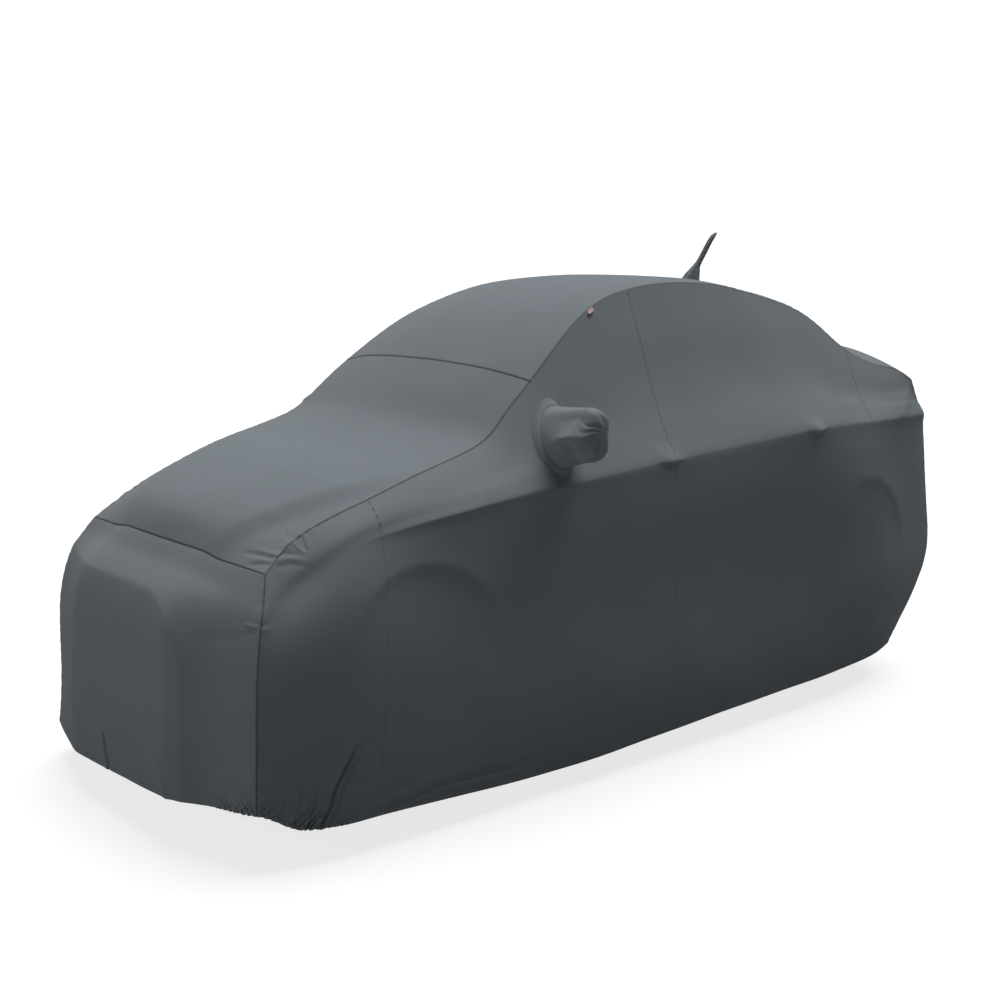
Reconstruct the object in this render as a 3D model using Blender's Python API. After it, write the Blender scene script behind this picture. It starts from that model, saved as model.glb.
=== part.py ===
"""Fitted stretch cover for a small saloon: nose, bonnet, roof and tail panels,
four panels down each side, a sewn-in patch and pocket for each door mirror,
a pocket for the roof antenna and a bare label in the roof seam.

Metres, +Z up, nose towards -Y, the car's left side on +X. The tables below give
y from the front axle and z above the ground. The model's origin is the point under
the roof cloth where the car holds the cover up.
"""

import bmesh
import bpy
import numpy as np

# Driving dimensions
CLOTH = 0.0022  # wall measured along the inward direction, 1.7 to 2.2 mm square to the cloth
SEAM_GAP = 0.0003  # between neighbouring pieces
HOLD_Y = 1.35  # the roof point that carries the cover
HOLD_Z = 1.530
WINDSCREEN_SEAM = 0.60  # station of the cross seam at the foot of the windscreen
SIDE_SEAMS = (0.00, 1.10, 2.15)  # stations of the three upright seams

# The side's long lines, each as (station, y, x, z) from the front corner to the rear corner.
ROOF_SEAM = (
    (-0.34, -0.313, 0.522, 0.787),
    (-0.27, -0.240, 0.501, 0.842),
    (-0.19, -0.163, 0.500, 0.884),
    (0.00, 0.018, 0.524, 0.951),
    (0.18, 0.188, 0.531, 1.005),
    (0.34, 0.363, 0.526, 1.050),
    (0.43, 0.469, 0.519, 1.095),
    (0.49, 0.534, 0.510, 1.150),
    (0.60, 0.646, 0.495, 1.238),
    (0.80, 0.862, 0.437, 1.386),
    (1.00, 1.084, 0.375, 1.476),
    (1.24, 1.335, 0.350, 1.512),
    (1.53, 1.638, 0.340, 1.505),
    (1.78, 1.900, 0.355, 1.454),
    (2.02, 2.157, 0.390, 1.354),
    (2.15, 2.300, 0.426, 1.252),
    (2.28, 2.423, 0.485, 1.186),
    (2.42, 2.510, 0.522, 1.163),
    (2.50, 2.561, 0.550, 1.129),
)
SHOULDER = (
    (-0.34, -0.364, 0.585, 0.690),
    (-0.27, -0.262, 0.577, 0.741),
    (-0.19, -0.167, 0.598, 0.799),
    (0.00, -0.006, 0.622, 0.867),
    (0.18, 0.172, 0.660, 0.904),
    (0.34, 0.346, 0.688, 0.930),
    (0.60, 0.600, 0.701, 0.951),
    (1.10, 1.060, 0.700, 0.981),
    (1.53, 1.500, 0.702, 1.003),
    (1.90, 1.880, 0.694, 1.018),
    (2.15, 2.162, 0.649, 1.005),
    (2.33, 2.395, 0.634, 1.001),
    (2.50, 2.590, 0.585, 0.995),
)
FLANK = (
    (-0.34, -0.404, 0.617, 0.510),
    (-0.27, -0.312, 0.648, 0.580),
    (-0.19, -0.214, 0.682, 0.610),
    (0.00, -0.048, 0.706, 0.640),
    (0.34, 0.340, 0.716, 0.620),
    (1.10, 1.072, 0.718, 0.620),
    (1.90, 1.890, 0.712, 0.620),
    (2.15, 2.178, 0.716, 0.640),
    (2.33, 2.420, 0.667, 0.600),
    (2.50, 2.620, 0.612, 0.620),
)
SILL = (
    (-0.34, -0.411, 0.618, 0.291),
    (-0.27, -0.334, 0.650, 0.291),
    (-0.19, -0.245, 0.682, 0.290),
    (0.00, -0.072, 0.710, 0.290),
    (0.34, 0.340, 0.721, 0.290),
    (1.10, 1.080, 0.724, 0.290),
    (1.90, 1.890, 0.713, 0.305),
    (2.15, 2.182, 0.708, 0.330),
    (2.33, 2.400, 0.664, 0.340),
    (2.50, 2.600, 0.606, 0.350),
)
HEM = (
    (-0.34, -0.424, 0.627, 0.138),
    (-0.27, -0.344, 0.650, 0.118),
    (-0.19, -0.255, 0.676, 0.106),
    (0.00, -0.080, 0.698, 0.103),
    (0.34, 0.340, 0.705, 0.083),
    (1.10, 1.095, 0.708, 0.088),
    (1.53, 1.520, 0.704, 0.099),
    (1.90, 1.880, 0.691, 0.102),
    (2.15, 2.130, 0.668, 0.103),
    (2.33, 2.290, 0.640, 0.105),
    (2.50, 2.425, 0.598, 0.108),
)
SIDE_LEVELS = (0.0, 0.36, 0.70, 1.0, 1.55, 2.0, 2.3)  # roof seam, two glass rows, shoulder, flank, sill, hem
GLASS_ROWS = (  # (share of the way from roof seam to shoulder, bow outwards, its change beside the cabin)
    (0.34, 0.010, -0.014),
    (0.69, 0.013, -0.019),
)
CABIN_STATIONS = (0.45, 0.95, 2.15, 2.45)  # that change starts, is full, starts to fade, is gone
SHOULDER_RIDGE = 0.006
SHOULDER_RIDGE_REACH = 0.07  # in levels
METRES_PER_LEVEL = 0.56  # over the glass
METRES_PER_STATION = 1.15  # along the roof seam over the door

# Down the middle of the car: (station, y, z) along the top, (level, y, z) down the nose and the tail.
TOP_MIDDLE = (
    (-0.34, -0.347, 0.800),
    (-0.27, -0.300, 0.868),
    (-0.19, -0.222, 0.915),
    (0.00, -0.030, 0.985),
    (0.18, 0.140, 1.032),
    (0.34, 0.305, 1.080),
    (0.43, 0.410, 1.135),
    (0.49, 0.475, 1.190),
    (0.60, 0.590, 1.282),
    (0.80, 0.810, 1.425),
    (1.00, 1.050, 1.505),
    (1.24, 1.320, 1.532),
    (1.53, 1.640, 1.525),
    (1.78, 1.920, 1.489),
    (2.02, 2.190, 1.405),
    (2.15, 2.345, 1.318),
    (2.28, 2.480, 1.262),
    (2.42, 2.590, 1.232),
    (2.50, 2.650, 1.175),
)
NOSE_MIDDLE = (
    (0.0, -0.347, 0.800),
    (0.36, -0.395, 0.762),
    (0.70, -0.452, 0.706),
    (1.0, -0.486, 0.625),
    (1.55, -0.510, 0.450),
    (2.0, -0.522, 0.270),
    (2.3, -0.516, 0.125),
)
TAIL_MIDDLE = (
    (0.0, 2.650, 1.175),
    (0.36, 2.678, 1.105),
    (0.70, 2.692, 1.030),
    (1.0, 2.702, 0.960),
    (1.55, 2.730, 0.640),
    (2.0, 2.715, 0.360),
    (2.3, 2.560, 0.110),
)

# Forms of the car that show through the cloth: (y, z, length, height, depth)
DOOR_HANDLES = (
    (1.040, 0.981, 0.050, 0.020, 0.017),
    (1.765, 1.016, 0.046, 0.020, 0.022),
)
WHEEL_ARCHES = ((0.09, 0.525), (2.08, 0.55))  # y, z of each arch's centre
ARCH_RADIUS = 0.262
ARCH_STEP = 0.010  # how far the cloth falls back inside the arch
ARCH_EDGE = (0.84, 1.02)  # the step's start and end, as shares of the radius
ARCH_FADE = (-0.10, 0.12)  # heights from the centre between which the step comes in
HANDLE_TENT = (0.4, 2.2, 2.6)  # share of a handle's depth in its wide tent, and the tent's reach along and up
BOOT_CREASE = (1.92, 2.56, 1.072)  # from y, to y, z
BOOT_CREASE_RISE = 0.006
BOOT_CREASE_WIDTH = 0.022
BONNET_EDGES = (  # (station, half-width of the raised middle of the bonnet, its rise)
    (-0.34, 0.245, 0.010),
    (-0.19, 0.350, 0.020),
    (0.00, 0.440, 0.020),
    (0.22, 0.530, 0.000),
)
BONNET_STEP = (-0.02, 0.08)  # the rise ends between these distances from that half-width
CROWN_POWER = 2.4  # of the arch across bonnet and roof: 2 is a parabola, more is flatter
END_DROOP_POWER = 2.2  # of the heights across nose and tail
END_SWEEP = 0.12  # share of the turn to the corners that is spread over the whole width
NOSE_FLAT = 0.45  # share of the half-width that faces straight ahead
TAIL_FLAT = 0.20
TURN_ROUND = 0.050  # how softly the ends turn to the corners, as a share of the half-width

# The deep fold that runs down to the hem behind the front corner: (y, z) from its start.
HEM_FOLD = ((-0.085, 0.352), (-0.150, 0.311), (-0.192, 0.254), (-0.256, 0.100))
HEM_FOLD_DEPTH = 0.016
HEM_FOLD_WIDTH = 0.026

# The hem round the nose hangs aslant: lower at the right-hand corner, higher at the left.
NOSE_SLANT = 0.053  # rise per metre across
NOSE_SLANT_TOP = (0.12, 0.45)  # heights between which it fades
NOSE_SLANT_BACK = (-0.42, -0.30)  # y between which it fades down the sides

# Mirror patch and pocket
PATCH_CENTRE = (0.607, 0.59)  # station and level on the side
PATCH_REACH = (0.077, 0.36)  # in station and level
PATCH_RISE = 0.018  # the patch is drawn outwards where the pocket is sewn to it
POCKET_ROOT = 0.78  # the pocket's root as a share of the patch
MIRROR_RINGS = (  # (x, y, z, half-length along y, half-height) of the sections, root to tip
    (0.720, 0.622, 1.088, 0.062, 0.082),
    (0.750, 0.606, 1.100, 0.060, 0.082),
    (0.785, 0.596, 1.106, 0.058, 0.080),
    (0.815, 0.593, 1.107, 0.052, 0.074),
    (0.836, 0.600, 1.108, 0.041, 0.058),
    (0.845, 0.610, 1.108, 0.018, 0.028),
)
FOLDED_MIRROR_RINGS = (  # the right-hand mirror lies folded back, close to the glass
    (0.712, 0.612, 1.050, 0.040, 0.040),
    (0.733, 0.638, 1.046, 0.055, 0.040),
    (0.749, 0.664, 1.043, 0.062, 0.040),
    (0.760, 0.682, 1.041, 0.056, 0.034),
    (0.767, 0.692, 1.040, 0.038, 0.024),
    (0.770, 0.698, 1.040, 0.016, 0.010),
)
MIRROR_SQUARENESS = 2.9  # 2 is an ellipse

# Antenna pocket: (y, z, half-width across x, half-length along y), root to tip
ANTENNA_RINGS = (
    (1.888, 1.500, 0.034, 0.050),
    (1.900, 1.525, 0.022, 0.036),
    (1.922, 1.555, 0.012, 0.021),
    (1.945, 1.580, 0.010, 0.0145),
    (1.968, 1.610, 0.010, 0.0135),
    (1.998, 1.650, 0.010, 0.0130),
    (2.022, 1.676, 0.008, 0.0105),
    (2.032, 1.684, 0.003, 0.0045),
)
LABEL_STATION = 0.905
LABEL_LENGTH = 0.030
LABEL_WIDTH = 0.024
LABEL_THICKNESS = 0.0012
LABEL_START = 0.004  # level of its sewn edge, just under the seam
LABEL_LIFT = 0.0006  # gap between the label and the cloth under it

# Mesh lines: stations panel by panel, closer where the form turns or a handle stands out, and levels
WING_STATIONS = (-0.34, -0.31, -0.28, -0.25, -0.22, -0.19, -0.16, -0.13, -0.10, -0.06, -0.03)
FRONT_STATIONS = (0.0, 0.06, 0.12, 0.18, 0.26, 0.34, 0.43, 0.49, 0.54, 0.60, 0.70, 0.80, 0.90, 0.98, 1.03, 1.07)
REAR_STATIONS = (1.10, 1.14, 1.20, 1.30, 1.42, 1.54, 1.64, 1.70, 1.74, 1.77, 1.80, 1.83, 1.88, 1.95, 2.02, 2.09)
QUARTER_STATIONS = (2.15, 2.19, 2.23, 2.28, 2.33, 2.38, 2.43, 2.47, 2.50)
STATIONS = np.array(WING_STATIONS + FRONT_STATIONS + REAR_STATIONS + QUARTER_STATIONS)
FIRST, LAST = STATIONS[0], STATIONS[-1]
SIDE_ROWS = (0.0, 0.1, 0.25, 0.42, 0.6, 0.76, 0.88, 0.95, 1.0, 1.05, 1.13, 1.3, 1.55, 1.8, 2.0, 2.12, 2.22, 2.3)
ACROSS = 12
SIDE_GAP = 0.0006  # share of the half-width that the middle panels stop short of the side panels
SECTION_POINTS = 24
MIRROR_CUT = (0.40, 0.95)  # x between which the mirror's opening is cut
ANTENNA_CUT = (1.30, 1.70)  # z between which the antenna's opening is cut

SLATE = (0.075, 0.090, 0.098, 1.0)
LABEL_RED = (0.55, 0.30, 0.28, 1.0)


def spline(knots, rows, at):
    """Natural cubic spline through rows at knots: piecewise cubics whose second
    derivatives m solve h0*m0 + 2*(h0+h1)*m1 + h1*m2 = 6*(slope1 - slope0)."""
    knots = np.asarray(knots, float)
    rows = np.asarray(rows, float)
    at = np.asarray(at, float)
    count = len(knots)
    step = np.diff(knots)
    system = np.eye(count)
    target = np.zeros_like(rows)
    for i in range(1, count - 1):
        system[i, i - 1 : i + 2] = step[i - 1], 2 * (step[i - 1] + step[i]), step[i]
        target[i] = 6 * ((rows[i + 1] - rows[i]) / step[i] - (rows[i] - rows[i - 1]) / step[i - 1])
    bend = np.linalg.solve(system, target.reshape(count, -1)).reshape(rows.shape)
    i = np.clip(np.searchsorted(knots, at) - 1, 0, count - 2)
    shape = at.shape + (1,) * (rows.ndim - 1)
    a = ((knots[i + 1] - at) / step[i]).reshape(shape)
    b = 1 - a
    span = (step[i] ** 2 / 6).reshape(shape)
    return a * rows[i] + b * rows[i + 1] + span * ((a**3 - a) * bend[i] + (b**3 - b) * bend[i + 1])


def smooth(value, low, high):
    """0 below low, 1 above high, with a smooth S between."""
    t = np.clip((value - low) / (high - low), 0, 1)
    return t * t * (3 - 2 * t)


def bump(value, centre, reach):
    """A bell curve of height 1."""
    return np.exp(-(((value - centre) / reach) ** 2))


def long_line(table, station):
    """x, y, z of one of the side's long lines."""
    table = np.array(table)
    return spline(table[:, 0], table[:, [2, 1, 3]], station)


def side_relief(point):
    """How far the cloth stands out along x where the car pushes it: door handles as
    bells on a wider tent, wheel arches as a step across a circle, a crease on the boot."""
    y, z = point[..., 1], point[..., 2]
    out = np.zeros_like(y)
    for at_y, at_z, length, height, depth in DOOR_HANDLES:
        tent, tent_length, tent_height = HANDLE_TENT
        out += depth * (1 - tent) * bump(y, at_y, length) * bump(z, at_z, height)
        out += depth * tent * bump(y, at_y, tent_length * length) * bump(z, at_z, tent_height * height)
    for at_y, at_z in WHEEL_ARCHES:
        radius = np.hypot(y - at_y, z - at_z) / ARCH_RADIUS
        upper = smooth(z - at_z, *ARCH_FADE)
        out -= ARCH_STEP * (1 - smooth(radius, *ARCH_EDGE)) * upper
    start, end, crease_z = BOOT_CREASE
    along = smooth(y, start, start + 0.15) * (1 - smooth(y, end - 0.06, end))
    out += BOOT_CREASE_RISE * bump(z, crease_z, BOOT_CREASE_WIDTH) * along
    return out


def fold_relief(point):
    """The deep fold behind the front corner: across its line, a ridge on one side
    and a trough on the other, growing towards the hem."""
    y, z = point[..., 1], point[..., 2]
    line = np.array(HEM_FOLD)
    t = np.clip((line[0, 1] - z) / (line[0, 1] - line[-1, 1]), 0, 1)
    knots = (line[0, 1] - line[:, 1]) / (line[0, 1] - line[-1, 1])
    across = (y - spline(knots, line[:, 0], t)) / HEM_FOLD_WIDTH
    grows = smooth(t, 0.0, 0.6)
    return -HEM_FOLD_DEPTH * 1.6 * across * np.exp(-(across**2)) * grows


def side_surface(station, level):
    """The left side: at each station a cubic section through the roof seam, two bowed
    rows between it and the shoulder, then shoulder, flank, sill and hem."""
    seam, shoulder, flank, sill, hem = (
        long_line(table, station) for table in (ROOF_SEAM, SHOULDER, FLANK, SILL, HEM)
    )
    chord = shoulder - seam
    outward = np.stack([-chord[:, 2], np.zeros(len(station)), chord[:, 0]], -1)
    outward /= np.linalg.norm(outward, axis=1)[:, None]
    starts, full, fades, gone = CABIN_STATIONS
    cabin = (smooth(station, starts, full) * (1 - smooth(station, fades, gone)))[:, None]
    ends = np.minimum(smooth(station, -0.42, -0.10), 1 - smooth(station, 2.25, 2.60))[:, None]
    upper, lower = (
        seam + share * chord + outward * (bow + more * cabin) * ends for share, bow, more in GLASS_ROWS
    )
    lines = np.stack([seam, upper, lower, shoulder, flank, sill, hem])
    grid = np.transpose(spline(SIDE_LEVELS, lines, level), (1, 0, 2))
    inside = smooth(level, 0.0, 0.25)[None, :]
    grid[..., 0] += (side_relief(grid) + fold_relief(grid)) * inside
    ridge = bump(level, 1.0, SHOULDER_RIDGE_REACH)[None, :] * smooth(station, -0.15, 0.25)[:, None]
    grid[..., 0] += SHOULDER_RIDGE * ridge
    return grid


def top_surface(station, across):
    """Bonnet or roof: every station is an arch between the two roof seams, through the
    middle line, with the raised middle of the bonnet stepping down to its edges."""
    edge = long_line(ROOF_SEAM, station)
    middle = np.array(TOP_MIDDLE)
    middle = spline(middle[:, 0], middle[:, 1:], station)
    w = across[None, :]
    grid = np.empty((len(station), len(across), 3))
    grid[..., 0] = edge[:, :1] * w
    grid[..., 1] = edge[:, 1:2] + (middle[:, :1] - edge[:, 1:2]) * (1 - w**2)
    grid[..., 2] = edge[:, 2:] + (middle[:, 1:] - edge[:, 2:]) * (1 - np.abs(w) ** CROWN_POWER)
    edges = np.array(BONNET_EDGES)
    step_x = np.interp(station, edges[:, 0], edges[:, 1])[:, None]
    rise = np.interp(station, edges[:, 0], edges[:, 2])[:, None]
    beyond = smooth(np.abs(grid[..., 0]) - step_x, *BONNET_STEP)
    grid[..., 2] += rise * (1 - beyond) * (1 - w**8)
    return grid


def end_surface(across, level, station, middle, flat):
    """Nose or tail: at every level a plan curve from corner seam to corner seam. Its
    middle share, flat, runs straight across and the rest turns back to the corners."""
    corner = side_surface(np.array([station]), level)[0]
    middle = spline([row[0] for row in middle], np.array(middle)[:, 1:], level)
    w = np.abs(across)[:, None]
    turn = np.sqrt(np.maximum(w - flat, 0) ** 2 + TURN_ROUND**2) - TURN_ROUND
    turn /= np.sqrt((1 - flat) ** 2 + TURN_ROUND**2) - TURN_ROUND
    back = END_SWEEP * w**2 + (1 - END_SWEEP) * turn
    grid = np.empty((len(across), len(level), 3))
    grid[..., 0] = across[:, None] * corner[:, 0]
    grid[..., 1] = middle[:, 0] + (corner[:, 1] - middle[:, 0]) * back
    grid[..., 2] = middle[:, 1] + (corner[:, 2] - middle[:, 1]) * w**END_DROOP_POWER
    seam = top_surface(np.array([station]), across)[0]
    lift = (seam - grid[:, 0])[:, None] * (1 - smooth(level, 0.0, 0.7))[None, :, None]
    return grid + lift


def inward(point):
    """Direction from the cloth to the middle of the car: towards a core that is narrow,
    short of both ends and no higher than the lower part of the cabin."""
    x, y, z = point[..., 0], point[..., 1], point[..., 2]
    core_height = 0.55 + 0.40 * smooth(y, 0.2, 0.9) * (1 - 0.6 * smooth(y, 2.0, 2.5))
    core = np.stack([0.45 * x, np.clip(y, 0.25, 2.15), np.minimum(z, core_height)], -1)
    direction = core - point
    return direction / np.linalg.norm(direction, axis=-1, keepdims=True)


def aslant(points):
    """Lets the nose's hem down towards the right-hand corner and up towards the left."""
    x, y, z = points[..., 0], points[..., 1], points[..., 2]
    fade = (1 - smooth(z, *NOSE_SLANT_TOP)) * (1 - smooth(y, *NOSE_SLANT_BACK))
    return points + (NOSE_SLANT * x * fade)[..., None] * np.array([0.0, 0.0, 1.0])


def to_origin(points):
    """From heights above the ground to the model's own origin."""
    return aslant(points) - np.array([0.0, HOLD_Y, HOLD_Z])


def slate_material(name, colour, roughness):
    material = bpy.data.materials.new(name)
    material.use_nodes = True
    shader = material.node_tree.nodes["Principled BSDF"]
    shader.inputs["Base Color"].default_value = colour
    shader.inputs["Roughness"].default_value = roughness
    shader.inputs["Metallic"].default_value = 0.0
    return material


def add_object(name, points, faces, colour=SLATE, roughness=0.85):
    mesh = bpy.data.meshes.new(name)
    mesh.from_pydata(to_origin(points).tolist(), [], faces)
    mesh.materials.append(slate_material(name, colour, roughness))
    mesh.shade_smooth()
    mesh.set_sharp_from_angle(angle=np.radians(50))
    made = bpy.data.objects.new(name, mesh)
    bpy.context.scene.collection.objects.link(made)
    return made


def mirrored(points, faces):
    """The right-hand copy of a left-hand shape, with its faces still pointing out."""
    return points * np.array([-1.0, 1.0, 1.0]), [[face[0], *face[:0:-1]] for face in faces]


def cloth_shell(grid, wall=None, ring=False, capped=False):
    """Closes a grid of points into a sheet: the grid, a copy moved by wall, which is the
    cloth's thickness inwards, and a rim round its edges. A ring's columns close on
    themselves, and a capped one is closed at its last row, so only its first has a rim.
    Rows and columns run so that the grid's faces point out."""
    rows, columns = grid.shape[:2]
    if wall is None:
        wall = CLOTH * inward(grid)
    points = np.concatenate([grid.reshape(-1, 3), (grid + wall).reshape(-1, 3)])
    number = np.arange(rows * columns).reshape(rows, columns)
    if ring:
        number = np.hstack([number, number[:, :1]])
    quads = np.stack([number[:-1, :-1], number[:-1, 1:], number[1:, 1:], number[1:, :-1]], -1).reshape(-1, 4)
    under = rows * columns
    faces = [*quads.tolist(), *(quads[:, [0, 3, 2, 1]] + under).tolist()]
    edges = [number[0]]
    if capped:
        faces += [number[-1, :-1].tolist(), (number[-1, -2::-1] + under).tolist()]
    else:
        edges.append(number[-1, ::-1])
    if not ring:
        edges += [number[:, -1], number[::-1, 0]]
    for edge in edges:
        faces += np.stack([edge[1:], edge[:-1], edge[:-1] + under, edge[1:] + under], -1).tolist()
    return points, faces


def between(start, end):
    """The mesh's stations from one seam to another, half a gap short of each. Panels
    that meet along a seam share them, so that their edges run together."""
    inner = STATIONS[(STATIONS > start + SEAM_GAP) & (STATIONS < end - SEAM_GAP)]
    return np.array([start + SEAM_GAP / 2, *inner, end - SEAM_GAP / 2])


def add_side_panels():
    level = np.array(SIDE_ROWS)
    level[0] = SEAM_GAP / METRES_PER_LEVEL
    stops = (FIRST, *SIDE_SEAMS, LAST)
    names = ("wing", "front", "rear", "quarter")
    fronts = {}
    for name, start, end in zip(names, stops, stops[1:]):
        grid = side_surface(between(start, end), level)
        points, faces = cloth_shell(grid)
        left = add_object(f"left_{name}_panel", points, faces)
        right = add_object(f"right_{name}_panel", *mirrored(points, faces))
        if name == "front":
            fronts = {"left": left, "right": right}
    return fronts


def add_top_panels():
    across = np.linspace(-1, 1, ACROSS + 1) * (1 - SIDE_GAP)
    bonnet = top_surface(between(FIRST, WINDSCREEN_SEAM), across)
    add_object("bonnet_panel", *cloth_shell(bonnet))
    roof = top_surface(between(WINDSCREEN_SEAM, LAST), across)
    return add_object("roof_panel", *cloth_shell(roof))


def add_end_panels():
    across = np.linspace(-1, 1, ACROSS + 1) * (1 - SIDE_GAP)
    level = np.array(SIDE_ROWS)
    level[0] = SEAM_GAP / METRES_PER_LEVEL
    nose = end_surface(across, level, FIRST, NOSE_MIDDLE, NOSE_FLAT)
    add_object("nose_panel", *cloth_shell(nose))
    tail = end_surface(across, level, LAST, TAIL_MIDDLE, TAIL_FLAT)
    add_object("tail_panel", *cloth_shell(tail[::-1]))


def add_prism(name, outline, low, high, axis):
    """A cutter: an outline of points carried straight through along one axis."""
    count = len(outline)
    points = np.concatenate([outline, outline])
    points[:count, axis] = low
    points[count:, axis] = high
    number = np.arange(count)
    after = np.roll(number, -1)
    sides = np.stack([number, after, after + count, number + count], -1).tolist()
    cutter = add_object(name, points, [number[::-1].tolist(), (number + count).tolist(), *sides])
    mesh = bmesh.new()
    mesh.from_mesh(cutter.data)
    bmesh.ops.recalc_face_normals(mesh, faces=mesh.faces)
    mesh.to_mesh(cutter.data)
    mesh.free()
    cutter.hide_render = True
    cutter.display_type = "WIRE"
    return cutter


def cut(target, cutter):
    modifier = target.modifiers.new("opening", "BOOLEAN")
    modifier.operation = "DIFFERENCE"
    modifier.object = cutter


def ring_angles():
    return np.arange(SECTION_POINTS) * (2 * np.pi / SECTION_POINTS)


def patch_line(share):
    """A closed line round the mirror patch, at a share of its reach from its centre. The
    patch leaves the side's surface towards the pocket's root by a smooth rise."""
    angle = ring_angles()
    station = PATCH_CENTRE[0] + share * PATCH_REACH[0] * np.cos(angle)
    level = PATCH_CENTRE[1] - share * PATCH_REACH[1] * np.sin(angle)
    own = np.arange(SECTION_POINTS)
    line = side_surface(station, level)[own, own]
    line[:, 0] += PATCH_RISE * smooth(1 - share, 0.0, 1 - POCKET_ROOT)
    return line


def superellipse(angle, squareness):
    """Points of |a|^n + |b|^n = 1."""
    a, b = np.cos(angle), np.sin(angle)
    reach = (np.abs(a) ** squareness + np.abs(b) ** squareness) ** (-1 / squareness)
    return a * reach, b * reach


def mirror_pocket_rows(rings):
    """A pocket's root on its patch, then its sections, each a rounded oblong."""
    along, up = superellipse(ring_angles(), MIRROR_SQUARENESS)
    rows = [patch_line(POCKET_ROOT - SEAM_GAP / PATCH_REACH[0])]
    for x, y, z, half_length, half_height in rings:
        rows.append(np.stack([np.full_like(along, x), y + along * half_length, z + up * half_height], -1))
    return np.stack(rows)


def pocket_wall(rows, axis, tip_rows):
    """The wall of a pocket: inwards to each section's middle, and along the axis at the tip."""
    middle = rows.mean(axis=1, keepdims=True)
    wall = middle - rows
    wall[..., axis] = 0
    wall *= CLOTH / np.linalg.norm(wall, axis=-1, keepdims=True)
    tip = np.zeros(len(rows))
    tip[-tip_rows:] = np.linspace(0.4, 1.0, tip_rows)
    wall *= (1 - 0.4 * tip)[:, None, None]
    wall[..., axis] -= CLOTH * tip[:, None]
    return wall


def add_mirror_pieces(panels):
    """Cuts each front panel open and adds the oval patch and the pocket sewn to it."""
    hole = add_prism("left_mirror_opening", patch_line(1.0), *MIRROR_CUT, 0)
    cut(panels["left"], hole)
    low, high = MIRROR_CUT
    other = add_prism("right_mirror_opening", patch_line(1.0) * np.array([-1, 1, 1]), -high, -low, 0)
    cut(panels["right"], other)
    straight = np.array([-CLOTH, 0, 0])
    shares = (1 - SEAM_GAP / PATCH_REACH[0], 0.5 + POCKET_ROOT / 2, POCKET_ROOT)
    patch = np.stack([patch_line(share) for share in shares])
    shell = cloth_shell(patch, wall=np.broadcast_to(straight, patch.shape), ring=True)
    add_object("left_mirror_patch", *shell)
    add_object("right_mirror_patch", *mirrored(*shell))
    pockets = []
    for rings in (MIRROR_RINGS, FOLDED_MIRROR_RINGS):
        rows = mirror_pocket_rows(rings)
        wall = pocket_wall(rows, 0, 3)
        wall[0] = straight
        pockets.append(cloth_shell(rows, wall=wall, ring=True, capped=True))
    add_object("left_mirror_pocket", *pockets[0])
    add_object("right_mirror_pocket", *mirrored(*pockets[1]))


def antenna_root(share):
    """A closed line on the roof round the antenna."""
    angle = ring_angles()[::2]
    y, _, half_width, half_length = ANTENNA_RINGS[0]
    x = share * half_width * np.cos(angle)
    middle = np.array(TOP_MIDDLE)
    station = np.interp(y + share * half_length * np.sin(angle), middle[:, 1], middle[:, 0])
    own = np.arange(len(angle))
    return top_surface(station, x / long_line(ROOF_SEAM, station)[:, 0])[own, own]


def add_antenna_pocket(roof):
    """A cone off the roof that closes to a slim finger leaning back."""
    cut(roof, add_prism("antenna_opening", antenna_root(1.0), *ANTENNA_CUT, 2))
    angle = ring_angles()[::2]
    rows = [antenna_root(1 - SEAM_GAP / ANTENNA_RINGS[0][2])]
    for y, z, half_width, half_length in ANTENNA_RINGS[1:]:
        x = half_width * np.cos(angle)
        rows.append(np.stack([x, y + half_length * np.sin(angle), np.full_like(angle, z)], -1))
    rows = np.stack(rows)
    wall = pocket_wall(rows, 2, 2)
    wall[0] = (0, 0, -CLOTH)
    add_object("antenna_pocket", *cloth_shell(rows, wall=wall, ring=True, capped=True))


def add_seam_label():
    """A bare woven tab, caught in the roof seam and lying on the side."""
    half = LABEL_LENGTH / METRES_PER_STATION / 2
    station = np.linspace(LABEL_STATION - half, LABEL_STATION + half, 4)
    level = np.linspace(0, LABEL_WIDTH / METRES_PER_LEVEL, 3) + LABEL_START
    base = side_surface(station, level)
    out = -inward(base)
    grid = base + out * (LABEL_THICKNESS + LABEL_LIFT)
    add_object("seam_label", *cloth_shell(grid, wall=-LABEL_THICKNESS * out), LABEL_RED, 0.7)


def main():
    for thing in list(bpy.data.objects):
        bpy.data.objects.remove(thing)
    panels = add_side_panels()
    add_mirror_pieces(panels)
    add_antenna_pocket(add_top_panels())
    add_end_panels()
    add_seam_label()


main()
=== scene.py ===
from functools import partial

import bpy
import numpy as np
from bpy.props import FloatProperty, FloatVectorProperty, PointerProperty
from mathutils import Matrix


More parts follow.
